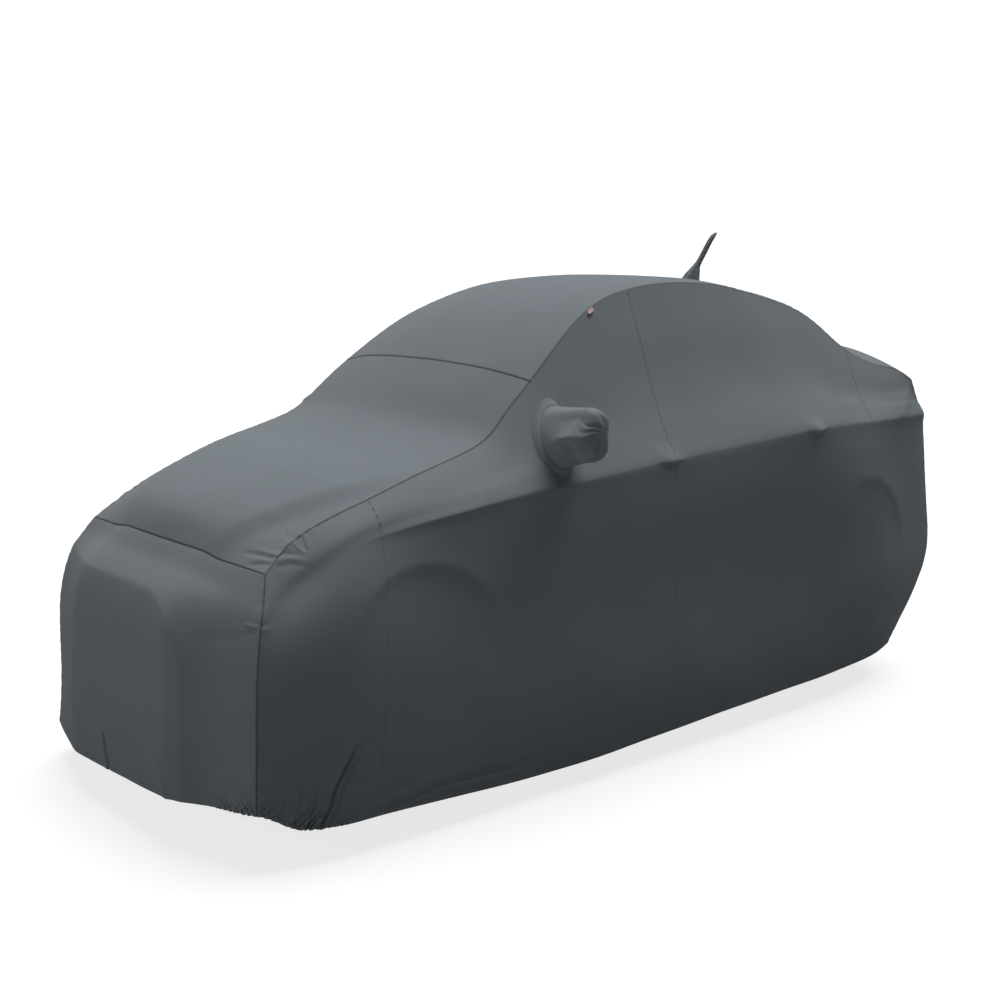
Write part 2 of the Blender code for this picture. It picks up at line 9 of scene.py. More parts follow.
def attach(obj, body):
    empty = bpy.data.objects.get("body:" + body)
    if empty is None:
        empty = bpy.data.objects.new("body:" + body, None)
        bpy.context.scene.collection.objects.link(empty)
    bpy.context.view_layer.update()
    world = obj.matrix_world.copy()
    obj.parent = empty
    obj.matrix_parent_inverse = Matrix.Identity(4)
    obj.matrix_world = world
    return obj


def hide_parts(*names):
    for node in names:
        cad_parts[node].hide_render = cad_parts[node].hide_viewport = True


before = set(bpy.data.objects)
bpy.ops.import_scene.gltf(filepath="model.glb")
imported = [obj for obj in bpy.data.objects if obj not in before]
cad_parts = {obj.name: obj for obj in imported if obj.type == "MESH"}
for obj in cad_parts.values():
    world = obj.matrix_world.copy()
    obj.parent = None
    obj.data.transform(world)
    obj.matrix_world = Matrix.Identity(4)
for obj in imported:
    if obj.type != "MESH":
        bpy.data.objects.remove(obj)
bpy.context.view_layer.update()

# A fitted stretch cover for a small saloon. Metres, +Z up, nose towards -Y, the car's left
# side on +X. The tables give y from the front axle and z above the ground; to_origin moves
# finished points to the model's own origin, under the roof cloth.

bl_info = {
    "name": "Fitted car cover",
    "version": (1, 0, 0),
    "blender": (4, 5, 0),
    "location": "3D View > Sidebar > Car cover",
    "description": "Builds the sewn panels, pockets, stitching and stage of a fitted stretch cover",
    "category": "Object",
}

CLOTH = 0.0022  # wall measured along the inward direction
SEAM_GAP = 0.00004
HOLD_Y, HOLD_Z = 1.35, 1.530  # the model's origin in the tables' frame
WINDSCREEN_SEAM = 0.60  # stations of the seams
SIDE_SEAMS = (0.00, 1.10, 2.15)

# The side's long lines, each as (station, y, x, z) from the front corner to the rear corner.
# A station is a place along the side, and a level a place down it, from 0 at the roof seam.
ROOF_SEAM = (
    (-0.34, -0.313, 0.522, 0.787),
    (-0.27, -0.240, 0.501, 0.842),
    (-0.19, -0.163, 0.500, 0.884),
    (0.00, 0.018, 0.524, 0.951),
    (0.18, 0.188, 0.531, 1.005),
    (0.34, 0.363, 0.526, 1.050),
    (0.43, 0.469, 0.519, 1.095),
    (0.49, 0.534, 0.510, 1.150),
    (0.60, 0.646, 0.495, 1.238),
    (0.80, 0.862, 0.437, 1.386),
    (1.00, 1.084, 0.375, 1.476),
    (1.24, 1.335, 0.350, 1.512),
    (1.53, 1.638, 0.340, 1.505),
    (1.78, 1.900, 0.355, 1.454),
    (2.02, 2.157, 0.390, 1.354),
    (2.15, 2.300, 0.426, 1.252),
    (2.28, 2.423, 0.485, 1.186),
    (2.42, 2.510, 0.522, 1.163),
    (2.50, 2.561, 0.550, 1.129),
)
SHOULDER = (
    (-0.34, -0.364, 0.585, 0.690),
    (-0.27, -0.262, 0.577, 0.741),
    (-0.19, -0.167, 0.598, 0.799),
    (0.00, -0.006, 0.622, 0.867),
    (0.18, 0.172, 0.660, 0.904),
    (0.34, 0.346, 0.688, 0.930),
    (0.60, 0.600, 0.701, 0.951),
    (1.10, 1.060, 0.700, 0.981),
    (1.53, 1.500, 0.702, 1.003),
    (1.90, 1.880, 0.694, 1.018),
    (2.15, 2.162, 0.649, 1.005),
    (2.33, 2.395, 0.634, 1.001),
    (2.50, 2.590, 0.585, 0.995),
)
FLANK = (
    (-0.34, -0.404, 0.617, 0.510),
    (-0.27, -0.312, 0.648, 0.580),
    (-0.19, -0.214, 0.682, 0.610),
    (0.00, -0.048, 0.706, 0.640),
    (0.34, 0.340, 0.716, 0.620),
    (1.10, 1.072, 0.718, 0.620),
    (1.90, 1.890, 0.712, 0.620),
    (2.15, 2.178, 0.716, 0.640),
    (2.33, 2.420, 0.667, 0.600),
    (2.50, 2.620, 0.612, 0.620),
)
SILL = (
    (-0.34, -0.411, 0.618, 0.291),
    (-0.27, -0.334, 0.650, 0.291),
    (-0.19, -0.245, 0.682, 0.290),
    (0.00, -0.072, 0.710, 0.290),
    (0.34, 0.340, 0.721, 0.290),
    (1.10, 1.080, 0.724, 0.290),
    (1.90, 1.890, 0.713, 0.305),
    (2.15, 2.182, 0.708, 0.330),
    (2.33, 2.400, 0.664, 0.340),
    (2.50, 2.600, 0.606, 0.350),
)
HEM = (
    (-0.34, -0.424, 0.627, 0.138),
    (-0.27, -0.344, 0.650, 0.118),
    (-0.19, -0.255, 0.676, 0.106),
    (0.00, -0.080, 0.698, 0.103),
    (0.34, 0.340, 0.705, 0.083),
    (1.10, 1.095, 0.708, 0.088),
    (1.53, 1.520, 0.704, 0.099),
    (1.90, 1.880, 0.691, 0.102),
    (2.15, 2.130, 0.668, 0.103),
    (2.33, 2.290, 0.640, 0.105),
    (2.50, 2.425, 0.598, 0.108),
)
SIDE_LEVELS = (0.0, 0.36, 0.70, 1.0, 1.55, 2.0, 2.3)  # of the lines and the two glass rows
GLASS_ROWS = ((0.34, 0.010, -0.014), (0.69, 0.013, -0.019))  # share of the chord, bow, more in the cabin
GLASS_ENDS = ((-0.42, -0.10), (2.25, 2.60))  # stations over which the bow comes in and goes out
CABIN_STATIONS = ((0.45, 0.95), (2.15, 2.45))  # stations over which the cabin comes in and goes out
METRES_PER_LEVEL = 0.56
METRES_PER_STATION = 1.15

# Down the middle of the car: (station, y, z) along the top, (level, y, z) down each end.
TOP_MIDDLE = (
    (-0.34, -0.347, 0.800),
    (-0.27, -0.300, 0.868),
    (-0.19, -0.222, 0.915),
    (0.00, -0.030, 0.985),
    (0.18, 0.140, 1.032),
    (0.34, 0.305, 1.080),
    (0.43, 0.410, 1.135),
    (0.49, 0.475, 1.190),
    (0.60, 0.590, 1.282),
    (0.80, 0.810, 1.425),
    (1.00, 1.050, 1.505),
    (1.24, 1.320, 1.532),
    (1.53, 1.640, 1.525),
    (1.78, 1.920, 1.489),
    (2.02, 2.190, 1.405),
    (2.15, 2.345, 1.318),
    (2.28, 2.480, 1.262),
    (2.42, 2.590, 1.232),
    (2.50, 2.650, 1.175),
)
NOSE_MIDDLE = (
    (0.0, -0.347, 0.800),
    (0.36, -0.395, 0.762),
    (0.70, -0.452, 0.706),
    (1.0, -0.486, 0.625),
    (1.55, -0.510, 0.450),
    (2.0, -0.522, 0.270),
    (2.3, -0.516, 0.125),
)
TAIL_MIDDLE = (
    (0.0, 2.650, 1.175),
    (0.36, 2.678, 1.105),
    (0.70, 2.692, 1.030),
    (1.0, 2.702, 0.960),
    (1.55, 2.730, 0.640),
    (2.0, 2.715, 0.360),
    (2.3, 2.560, 0.110),
)
BONNET_EDGES = (  # station, x, rise of the bonnet's raised middle
    (-0.34, 0.245, 0.010),
    (-0.19, 0.350, 0.020),
    (0.00, 0.440, 0.020),
    (0.22, 0.530, 0.000),
)
BONNET_STEP = (-0.02, 0.08)  # distance past the edge over which it steps down
BONNET_STEP_POWER = 8
CROWN_POWER = 2.4
END_DROOP_POWER = 2.2
END_SWEEP = 0.12
END_LIFT_LEVEL = 0.7  # where an end has left the line of the top's edge
NOSE_FLAT = 0.45
TAIL_FLAT = 0.20
TURN_ROUND = 0.050

# Forms of the car that show through the cloth
DOOR_HANDLES = ((1.040, 0.981, 0.042, 0.017), (1.765, 1.016, 0.040, 0.022))  # y, z, length, depth
HANDLE_ABOVE = 0.030
HANDLE_BELOW = 0.006  # the cloth drops off a handle's lower edge
HANDLE_TENT = (0.28, 0.100, 0.050)  # share of the depth, and the wide tent's reach along and up
WHEEL_ARCHES = (  # y, z, heights above the centre and y beyond it between which the arch comes in
    (0.09, 0.525, (-0.02, 0.23), (-0.60, -0.40)),
    (2.08, 0.55, (-0.15, 0.10), (-0.14, 0.02)),
)
ARCH_RADIUS = 0.262
ARCH_STEP = 0.010
ARCH_REACH = 0.20  # share of the radius over which the step deepens
ARCH_LIP = (0.004, 0.14, 0.85)  # height over the arch, reach and start as shares of the radius
ARCH_LIP_HEIGHTS = (0.08, 0.22)
BOOT_CREASE = (1.92, 2.56, 1.072)  # first y, last y, z
BOOT_CREASE_FADES = (0.15, 0.06)
BOOT_CREASE_RISE = 0.004
BOOT_CREASE_REACH = (0.045, 0.014)  # below and above
SHOULDER_RIDGE = 0.006
SHOULDER_RIDGE_REACH = 0.07
SHOULDER_CUSP = 0.007
SHOULDER_CUSP_REACH = 0.09
SHOULDER_STARTS = (-0.15, 0.25)  # stations
RELIEF_LEVEL = 0.25  # where the relief is whole below the roof seam

# The deep fold that runs down to the hem behind the front corner: (y, z) from its start,
# and across it (height, distance from the line, width) of a narrow trough and its ridges.
HEM_FOLD = (
    (-0.098, 0.362),
    (-0.155, 0.321),
    (-0.188, 0.263),
    (-0.217, 0.207),
    (-0.229, 0.162),
    (-0.256, 0.112),
)
HEM_FOLD_PROFILE = (
    (-0.0100, 0.000, 0.0036),
    (0.0035, -0.010, 0.0090),
    (0.0050, 0.009, 0.0050),
    (-0.0040, 0.019, 0.0045),
    (-0.0020, 0.040, 0.0250),
)
HEM_FOLD_STARTS = (0.25, 0.05, 0.45)  # its first depth, and shares of its length to full depth
HEM_FOLD_TOP = (0.36, 0.40)
HEM_FOLD_BELOW = 0.05

# The hem round the nose hangs aslant: lower at the right-hand corner, higher at the left.
NOSE_SLANT = 0.053  # rise per metre across
NOSE_SLANT_TOP = (0.12, 0.45)  # heights between which it fades
NOSE_SLANT_BACK = (-0.42, -0.30)  # y between which it fades down the sides

# Folds and creases: (height, width, 1 if it fades at its far end, points). A trough has a
# height below 0. Each comes in and fades over shares of its length.
FOLD_STARTS = 0.25
FOLD_FADES = 0.60
SIDE_FOLDS = (  # points (y, z)
    (-0.0026, 0.0055, 1, ((-0.190, 0.240), (-0.150, 0.285), (-0.085, 0.305))),
    (-0.0024, 0.0060, 1, ((-0.212, 0.200), (-0.165, 0.245), (-0.100, 0.268))),
    (-0.0020, 0.0065, 1, ((-0.222, 0.165), (-0.170, 0.205), (-0.090, 0.232))),
    (-0.0050, 0.0045, 0, ((-0.300, 0.235), (-0.312, 0.190), (-0.330, 0.120))),
    (-0.0045, 0.0045, 0, ((-0.262, 0.225), (-0.275, 0.180), (-0.292, 0.115))),
    (-0.0040, 0.0040, 0, ((-0.345, 0.215), (-0.354, 0.180), (-0.368, 0.130))),
    (-0.0020, 0.0050, 1, ((-0.275, 0.829), (-0.240, 0.834), (-0.205, 0.828))),
    (0.0025, 0.0060, 1, ((-0.285, 0.812), (-0.240, 0.822), (-0.195, 0.818))),
    (-0.0018, 0.0060, 1, ((-0.290, 0.798), (-0.245, 0.808), (-0.190, 0.800))),
    (-0.0022, 0.0034, 0, ((-0.182, 0.876), (-0.190, 0.856), (-0.194, 0.842))),
    (0.0020, 0.0038, 0, ((-0.214, 0.860), (-0.208, 0.851), (-0.203, 0.838))),
    (0.0030, 0.0035, 1, ((-0.378, 0.667), (-0.360, 0.661), (-0.335, 0.653))),
    (-0.0025, 0.0035, 1, ((-0.378, 0.669), (-0.360, 0.673), (-0.335, 0.682))),
    (-0.0045, 0.0065, 0, ((-0.110, 0.105), (0.120, 0.140), (0.267, 0.136), (0.440, 0.128))),
    (-0.0035, 0.0060, 1, ((-0.130, 0.150), (0.040, 0.178), (0.200, 0.205), (0.330, 0.205))),
    (0.0030, 0.0080, 1, ((-0.120, 0.128), (0.060, 0.162), (0.250, 0.172))),
    (-0.0045, 0.0060, 0, ((2.080, 0.400), (2.240, 0.335), (2.420, 0.248))),
    (-0.0040, 0.0050, 0, ((2.340, 0.370), (2.430, 0.315), (2.520, 0.245))),
    (0.0040, 0.0140, 0, ((2.575, 1.125), (2.470, 1.065), (2.380, 1.010))),
)
NOSE_FOLDS = (  # points (x, z)
    (-0.0050, 0.0032, 0, ((-0.078, 0.260), (-0.067, 0.190), (-0.059, 0.118))),
    (0.0030, 0.0070, 0, ((-0.092, 0.250), (-0.081, 0.190), (-0.073, 0.118))),
    (0.0045, 0.0130, 0, ((0.225, 0.290), (0.270, 0.195), (0.300, 0.110))),
    (0.0030, 0.0040, 1, ((0.590, 0.666), (0.557, 0.667), (0.525, 0.671))),
    (-0.0035, 0.0050, 1, ((0.590, 0.660), (0.562, 0.651), (0.530, 0.634))),
    (-0.0018, 0.0160, 1, ((0.560, 0.634), (0.480, 0.622), (0.360, 0.598))),
)
BONNET_FOLDS = (  # points (x, y)
    (-0.0028, 0.0042, 0, ((0.374, -0.302), (0.441, -0.285), (0.495, -0.272))),
    (-0.0030, 0.0042, 0, ((0.440, -0.316), (0.478, -0.297), (0.505, -0.287))),
    (0.0026, 0.0038, 0, ((0.415, -0.280), (0.456, -0.270), (0.492, -0.262))),
    (0.0024, 0.0045, 0, ((0.410, -0.310), (0.460, -0.292), (0.500, -0.280))),
    (-0.0018, 0.0036, 1, ((0.497, -0.216), (0.470, -0.212), (0.440, -0.200))),
)

NOSE_FACE = (0.360, 0.700, 0.240)  # half-width and top of the flat face, the round of its corner
NOSE_FALL = 0.015
NOSE_FALL_REACH = 0.065
NOSE_FALL_FROM = (0.09, 0.22)  # distance from the upper seam and the corner seam
NOSE_LIP = 0.006  # rise of the face towards its edge
NOSE_LIP_REACH = 0.060
NOSE_LIP_HEIGHTS = (0.30, 0.60)

# The core that the cloth's inward direction points at
CORE_WIDTH = 0.45  # share of a point's own x
CORE_ENDS = (0.25, 2.15)
CORE_HEIGHT = 0.55
CABIN_LIFT = 0.40
CABIN_LIFTS = (0.2, 0.9)
CABIN_DROPS = (2.0, 2.5)
CABIN_DROP = 0.6  # share of the lift

# Mirror patch and pockets. The patch is placed by station and level.
PATCH_CENTRE = (0.607, 0.59)
PATCH_REACH = (0.077, 0.36)
PATCH_RISE = 0.018
PATCH_HOLE = 0.90  # share of the reach that is cut out of the panel under the patch
PATCH_LIFT = (  # share of the reach, height over the panel: the sewn edge is tucked down
    (0.78, 0.0008),
    (0.98, 0.0012),
    (0.992, 0.0011),
    (1.0, 0.0007),
    (1.005, -0.0004),
)
PATCH_STITCHES = (0.955, 0.905)
PATCH_DENT = (0.0007, 0.010)  # depth and width of the dent along a line of stitches
PATCH_THREAD_LIFT = 0.0012
PATCH_METRES = 0.2  # from its centre to its lower edge
PATCH_SHADES = ((0.78, 0.0030), (0.99, 0.0022))  # share, added to the distance from a seam there: painted shade along the pocket's root and the patch's edge
POCKET_ROOT = 0.78
MIRROR_RINGS = (  # (x, y, z, half-length along y, half-height), root to tip
    (0.745, 0.608, 1.099, 0.061, 0.082),
    (0.785, 0.596, 1.106, 0.058, 0.080),
    (0.815, 0.593, 1.107, 0.052, 0.074),
    (0.836, 0.600, 1.108, 0.041, 0.058),
    (0.845, 0.610, 1.108, 0.018, 0.028),
)
FOLDED_MIRROR_RINGS = (
    (0.712, 0.612, 1.050, 0.040, 0.040),
    (0.733, 0.638, 1.046, 0.055, 0.040),
    (0.749, 0.664, 1.043, 0.062, 0.040),
    (0.760, 0.682, 1.041, 0.056, 0.034),
    (0.767, 0.692, 1.040, 0.038, 0.024),
    (0.770, 0.698, 1.040, 0.016, 0.010),
)
POCKET_LEAN = 0.30  # how far back the top and bottom lie, as a share of the half-length
MIRROR_SQUARENESS = (1.15, 2.9)  # in front, where the cloth is drawn over an edge, and behind

POCKETS = (  # hand, side, rings, depth of the gathers, area of the cut
    (1, "left", MIRROR_RINGS, 0.0026, 0.10),
    (-1, "right", FOLDED_MIRROR_RINGS, 0.0016, 0.062),
)
POCKET_COLUMNS, POCKET_ROWS = 144, 60
POCKET_WALL = CLOTH * 0.9
POCKET_BACK = (-0.7, 0.2)  # cosines of the angle over which the front's shape turns to the rear's
POCKET_END = (0.55, 1.0)  # shares of its length over which the folds turn to face outwards
POCKET_GATHERS = 13
POCKET_FAN = ((0.40, 0.72), (0.9, 1.0), 0.6)  # where the gathers start, where they ease and how much
POCKET_SLIM = 0.02  # radius below which the gathers get shallower
POCKET_CREASE = (0.004, 0.05, 0.16, (0.03, 0.15), (0.6, 0.85))  # height, place, width, start, end
POCKET_FAINT = 0.004  # added to the distance from the pocket's seam, which keeps its painted shade faint as at the upright seams

# Antenna pocket: (y, z, half-width across x, half-length along y), root to tip
ANTENNA_RINGS = (
    (1.888, 1.500, 0.034, 0.050),
    (1.900, 1.525, 0.022, 0.036),
    (1.922, 1.555, 0.012, 0.021),
    (1.945, 1.580, 0.010, 0.0145),
    (1.968, 1.610, 0.010, 0.0135),
    (1.998, 1.650, 0.010, 0.0130),
    (2.022, 1.676, 0.008, 0.0105),
    (2.032, 1.684, 0.003, 0.0045),
)
ANTENNA_EDGE = ((1.12, 0.0006), (1.0, 0.0015))  # share of the first ring, height over the roof
ANTENNA_HOLE = 0.75  # share of the first ring that is cut out of the roof
ANTENNA_WALL = 0.0018
ANTENNA_COLUMNS, ANTENNA_ROWS = 56, 90
ANTENNA_EVEN = 0.008  # added between rings, which evens out the spline's knots
ANTENNA_WRINKLES = (0.0006, 13, 0.55)  # depth, number up the pocket, how far they wind
ANTENNA_PLEATS = (0.0016, 7, 1, 0.16, 0.12)  # depth, number, shift, place and reach up the pocket
ANTENNA_FRILL = (0.0006, 5, 2, 0.05, 0.05)
# added to the distance from the antenna pocket's seam, which keeps its painted shade faint
ANTENNA_FAINT = 0.002

LABEL_STATION = 0.905
LABEL_LEVEL = 0.002
LABEL_LENGTH = 0.030
LABEL_WIDTH = 0.024
LABEL_WALL = 0.0012
LABEL_LIFT = (0.0022, 0.0075, 0.002)  # at the seam, rise to the free edge, curl of its corners
LABEL_COLOUR = (0.62, 0.42, 0.38)

# Mesh lines: (centre, reach, extra lines per unit) on top of an even spacing
FIRST, LAST = -0.34, 2.50
STATION_LINES = 120
STATION_DETAIL = (
    (FIRST, 0.012, 420),
    (-0.20, 0.100, 300),
    (0.00, 0.008, 380),
    (WINDSCREEN_SEAM, 0.008, 380),
    (1.10, 0.008, 380),
    (2.15, 0.008, 380),
    (2.42, 0.090, 60),
    (LAST, 0.012, 420),
)
LEVEL_LINES = 32
LEVEL_DETAIL = (
    (0.0, 0.012, 350),
    (0.0, 0.060, 90),
    (1.0, 0.070, 120),
    (1.35, 0.25, 14),
    (2.3, 0.060, 170),
)
CORNER_DETAIL = ((0.08, 0.10, 110), (0.42, 0.06, 110), (2.10, 0.20, 100))  # more on wings and nose
ACROSS_LINES = 36
ACROSS_DETAIL = ((1.0, 0.012, 220), (1.0, 0.22, 42), (0.55, 0.12, 26))
FRONT_DETAIL = ((0.88, 0.08, 130),)  # more at the front corners
PLEAT_DETAIL = ((0.10, 0.05, 160),)
ACROSS_GAP = 0.0006  # share of the half-width that the last line stops short

# Stitch lines: how far each runs from its seam or from the hem
SEAM_STITCH = 0.004
UPRIGHT_STITCH = 0.0015
HEM_STITCH = 0.013
UPRIGHT_COARSE = 2.4  # how much larger the stitches of the upright seams are
STITCHES_TO = 1.0  # level where the stitches of an upright seam stop showing
THREAD_PROUD = 0.3  # share of its radius by which a thread's middle stands out of the cloth
UPRIGHT_FAINT = 0.0028  # added to the distance from an upright seam, which keeps its painted shade faint

KNIT_PATCHES = (5.0, 3.0, 0.5)  # noise: scale, detail, roughness
KNIT_FIBRES = (420.0, 2.0, 0.6)
KNIT_TONES_AND_LOOP_SHADE = (0.10, 0.14, 0.25, 0.82)  # range of the patches and fibres, range of the painted shade over the loops, and the tone of that painted shade between loops
SEAM_PAINTED_SHADE = 0.72  # how dark the painted shade along a seam's groove is
SEAM_PAINTED_SHADE_REACH = 1 / 520
SEAM_FADE = 0.012  # distance from one seam over which the other's groove comes in
PUCKER_ENDS = 0.04  # length over which puckers come in at each end of a seam
CORNER_PUCKERS = 0.7  # strength at the seams of the nose, the tail and the windscreen
UPRIGHT_PUCKERS = 0.3
ROOF_PUCKERS = 0.6
MORE_ROOF_PUCKERS = ((2.6, 1.72, 0.22), (1.6, -0.25, 0.06))  # strength, station, reach

# Gathers of the hem: the fine ones as a share of the long ones, and their strength round it
FINE_GATHERS = 0.55
FINE_GATHER_REACH = 0.3
GATHER_UNEVEN = 0.35
GATHER_UNEVEN_PACE = 47  # radians a metre
SIDE_GATHERS = 0.06
CORNER_GATHERS_END = (-0.20, -0.05)  # stations over which the front corner's gathers die away
RIGHT_GATHERS = 0.4  # share of the left side's
NOSE_GATHERS = 0.05
NOSE_GATHERS_END = (0.08, 0.22)  # distances from the corner
NOSE_GATHERS_LEFT = (0.0, 0.2)  # x over which they come in
TAIL_GATHERS = 0.9
HEM_SEAM_FADE = 0.02
HEM_SHIFT = 0.3  # keeps a panel's gathers from repeating the wing's

SEED = 7
WAVES = 14
WAVE_LENGTHS = (0.16, 0.6)

SIDE_NAMES = ("wing", "front", "rear", "quarter")

CAMERA_PLACE = (3.76277, -3.58640, 0.14527)
CAMERA_TURN = 49.793224  # degrees round from -Y
CAMERA_DOWN = 10.449105
KEY_FROM = (-0.14, 0.36, 1.0)
FILL_FROM = (-0.65, -1.0, 0.22)
FLOOR_HALF = 60.0
BACKGROUND = 1.2  # brightness of the backdrop as seen


def metres(name, description, default):
    """A setting that is a length."""
    return FloatProperty(name=name, description=description, unit="LENGTH", default=default)


def paint(name, description, default):
    """A setting that is a colour."""
    return FloatVectorProperty(name=name, description=description, subtype="COLOR", default=default)


def factor(name, description, default):
    """A setting that is a plain number."""
    return FloatProperty(name=name, description=description, default=default)


class ClothSettings(bpy.types.PropertyGroup):
    """The knit: its colour and its scale."""

    colour: paint("Cloth", "Colour of the knit", (0.178, 0.203, 0.222))
    roughness: FloatProperty(name="Roughness", description="Of the matt knit", default=0.92, min=0, max=1)
    wale: metres("Wale", "Width of one column of loops", 0.0016)
    course: metres("Course", "Height of one row of loops", 0.0012)
    loop_height: metres("Loop height", "Relief of the knit", 0.00025)
    wave: metres("Unevenness", "Soft waves in the cloth", 0.0009)


class SeamSettings(bpy.types.PropertyGroup):
    """Seams, their puckers and their thread."""

    groove: metres("Groove", "Depth of a seam", 0.0022)
    groove_width: metres("Groove width", "Of a seam", 0.0026)
    upright: factor("Uprights", "Share of the groove at the upright seams", 0.10)
    pucker: metres("Pucker spacing", "Along a seam", 0.036)
    pucker_height: metres("Pucker height", "At a seam", 0.0010)
    pucker_reach: metres("Pucker reach", "Away from a seam", 0.016)
    stitch_pitch: metres("Stitch pitch", "Along a seam", 0.0125)
    stitch_length: metres("Stitch length", "Of thread shown", 0.0065)
    thread: metres("Thread", "Radius of the thread", 0.0007)
    thread_colour: paint("Thread colour", "Of the stitching", (0.022, 0.025, 0.027))


class HemSettings(bpy.types.PropertyGroup):
    """The elastic hem."""

    casing: metres("Casing", "Height of the hem's casing", 0.013)
    bulge: metres("Bulge", "Of the casing over the cord", 0.0010)
    gather: metres("Gather spacing", "Along the hem", 0.021)
    gather_height: metres("Gather height", "At the hem", 0.0060)
    gather_reach: metres("Gather reach", "Up from the hem", 0.065)
    lean: factor("Lean", "Of the long gathers", 0.85)


class StageSettings(bpy.types.PropertyGroup):
    """Floor, lights and camera."""

    floor: paint("Floor", "Its colour", (0.30, 0.30, 0.30))
    paleness: factor("Paleness", "Own brightness of the floor as seen", 0.78)
    key: factor("Key", "Strength of the wide overhead light", 3.5)
    fill: factor("Fill", "Strength of the wide low light", 0.85)
    spread: FloatProperty(name="Spread", description="Angle of both lights", subtype="ANGLE", default=0.9)
    sky: factor("Sky", "Light from all round", 0.07)
    lens: FloatProperty(name="Lens", description="Focal length", unit="CAMERA", default=51.79)


def settings(group):
    """The user's values for the cloth, the seams, the hem or the stage."""
    return getattr(bpy.context.scene, f"cover_{group}")


def spline(knots, rows, at):
    """Natural cubic spline through rows at knots: piecewise cubics whose second
    derivatives m solve h0*m0 + 2*(h0+h1)*m1 + h1*m2 = 6*(slope1 - slope0)."""
    knots = np.asarray(knots, float)
    rows = np.asarray(rows, float)
    at = np.asarray(at, float)
    count = len(knots)
    step = np.diff(knots)
    system = np.eye(count)
    target = np.zeros_like(rows)
    for i in range(1, count - 1):
        system[i, i - 1 : i + 2] = step[i - 1], 2 * (step[i - 1] + step[i]), step[i]
        target[i] = 6 * ((rows[i + 1] - rows[i]) / step[i] - (rows[i] - rows[i - 1]) / step[i - 1])
    bend = np.linalg.solve(system, target.reshape(count, -1)).reshape(rows.shape)
    i = np.clip(np.searchsorted(knots, at) - 1, 0, count - 2)
    shape = at.shape + (1,) * (rows.ndim - 1)
    a = ((knots[i + 1] - at) / step[i]).reshape(shape)
    b = 1 - a
    span = (step[i] ** 2 / 6).reshape(shape)
    return a * rows[i] + b * rows[i + 1] + span * ((a**3 - a) * bend[i] + (b**3 - b) * bend[i + 1])


def smooth(value, low, high):
    """0 below low, 1 above high, with a smooth S between."""
    t = np.clip((value - low) / (high - low), 0, 1)
    return t * t * (3 - 2 * t)


def between(value, starts, ends):
    """Rises over one span from 0 to 1 and falls back over another."""
    return smooth(value, *starts) * (1 - smooth(value, *ends))


def bump(value, centre, reach):
    """A bell curve of height 1."""
    return np.exp(-(((value - centre) / reach) ** 2))


def lopsided(value, centre, below, above):
    """A bell curve with one reach below its centre and another above."""
    return bump(value, centre, np.where(value < centre, below, above))


def cusp(value, centre, reach):
    """A peak of height 1 that comes to an edge and falls away on both sides."""
    return np.exp(-np.abs(value - centre) / reach)


def unit(vectors):
    """The same directions with length 1."""
    return vectors / np.maximum(np.linalg.norm(vectors, axis=-1, keepdims=True), 1e-9)


def long_line(table, station):
    """x, y, z of one of the side's long lines."""
    table = np.array(table)
    return spline(table[:, 0], table[:, [2, 1, 3]], station)


def side_relief(point):
    """How far the cloth stands out along x where the car pushes it: door handles as
    lopsided bells on a wider tent, wheel arches as a step round a circle under a
    lip, a lopsided crease on the boot."""
    y, z = point[..., 1], point[..., 2]
    out = np.zeros_like(y)
    share, tent_length, tent_height = HANDLE_TENT
    for at_y, at_z, length, depth in DOOR_HANDLES:
        out += depth * (1 - share) * bump(y, at_y, length) * lopsided(z, at_z, HANDLE_BELOW, HANDLE_ABOVE)
        out += depth * share * bump(y, at_y, tent_length) * bump(z, at_z, tent_height)
    lip_height, lip_reach, lip_start = ARCH_LIP
    for at_y, at_z, heights, spans in WHEEL_ARCHES:
        radius = np.hypot(y - at_y, z - at_z) / ARCH_RADIUS
        shown = smooth(z - at_z, *heights) * smooth(y - at_y, *spans)
        out -= ARCH_STEP * (1 - np.exp(-np.maximum(1 - radius, 0) / ARCH_REACH)) * shown
        lip = lip_height * np.exp(-np.maximum(radius - 1, 0) / lip_reach) * smooth(radius, lip_start, 1.0)
        out += lip * smooth(z - at_z, *ARCH_LIP_HEIGHTS) * shown
    start, end, crease_z = BOOT_CREASE
    fade_in, fade_out = BOOT_CREASE_FADES
    along = between(y, (start, start + fade_in), (end - fade_out, end))
    return out + BOOT_CREASE_RISE * lopsided(z, crease_z, *BOOT_CREASE_REACH) * along


def to_line(point, line):
    """Distance of flat points from a line of points, and the share of the line's length
    at which they are nearest to it."""
    line = np.array(line)
    pieces = np.linalg.norm(np.diff(line, axis=0), axis=1)
    before = np.concatenate([[0], np.cumsum(pieces)])
    nearest = np.full(point.shape[:-1], np.inf)
    share = np.zeros(point.shape[:-1])
    for start, end, length, so_far in zip(line, line[1:], pieces, before):
        t = np.clip((point - start) @ (end - start) / length**2, 0, 1)
        distance = np.linalg.norm(point - start - t[..., None] * (end - start), axis=-1)
        share = np.where(distance < nearest, (so_far + t * length) / before[-1], share)
        nearest = np.minimum(distance, nearest)
    return nearest, share


def fold_relief(point):
    """The deep fold behind the front corner: a narrow dark trough between ridges, which
    comes in over its first part."""
    flat = point[..., 1:]
    y, z = flat[..., 0], flat[..., 1]
    knots = np.array(HEM_FOLD)[::-1]
    distance, share = to_line(flat, HEM_FOLD)
    signed = distance * np.sign(y - np.interp(z, knots[:, 1], knots[:, 0]))
    profile = sum(height * bump(signed, place, width) for height, place, width in HEM_FOLD_PROFILE)
    foot = HEM_FOLD[-1][1]
    within = between(z, (foot - HEM_FOLD_BELOW, foot), HEM_FOLD_TOP)
    first, *shares = HEM_FOLD_STARTS
    return profile * (first + (1 - first) * smooth(share, *shares)) * within


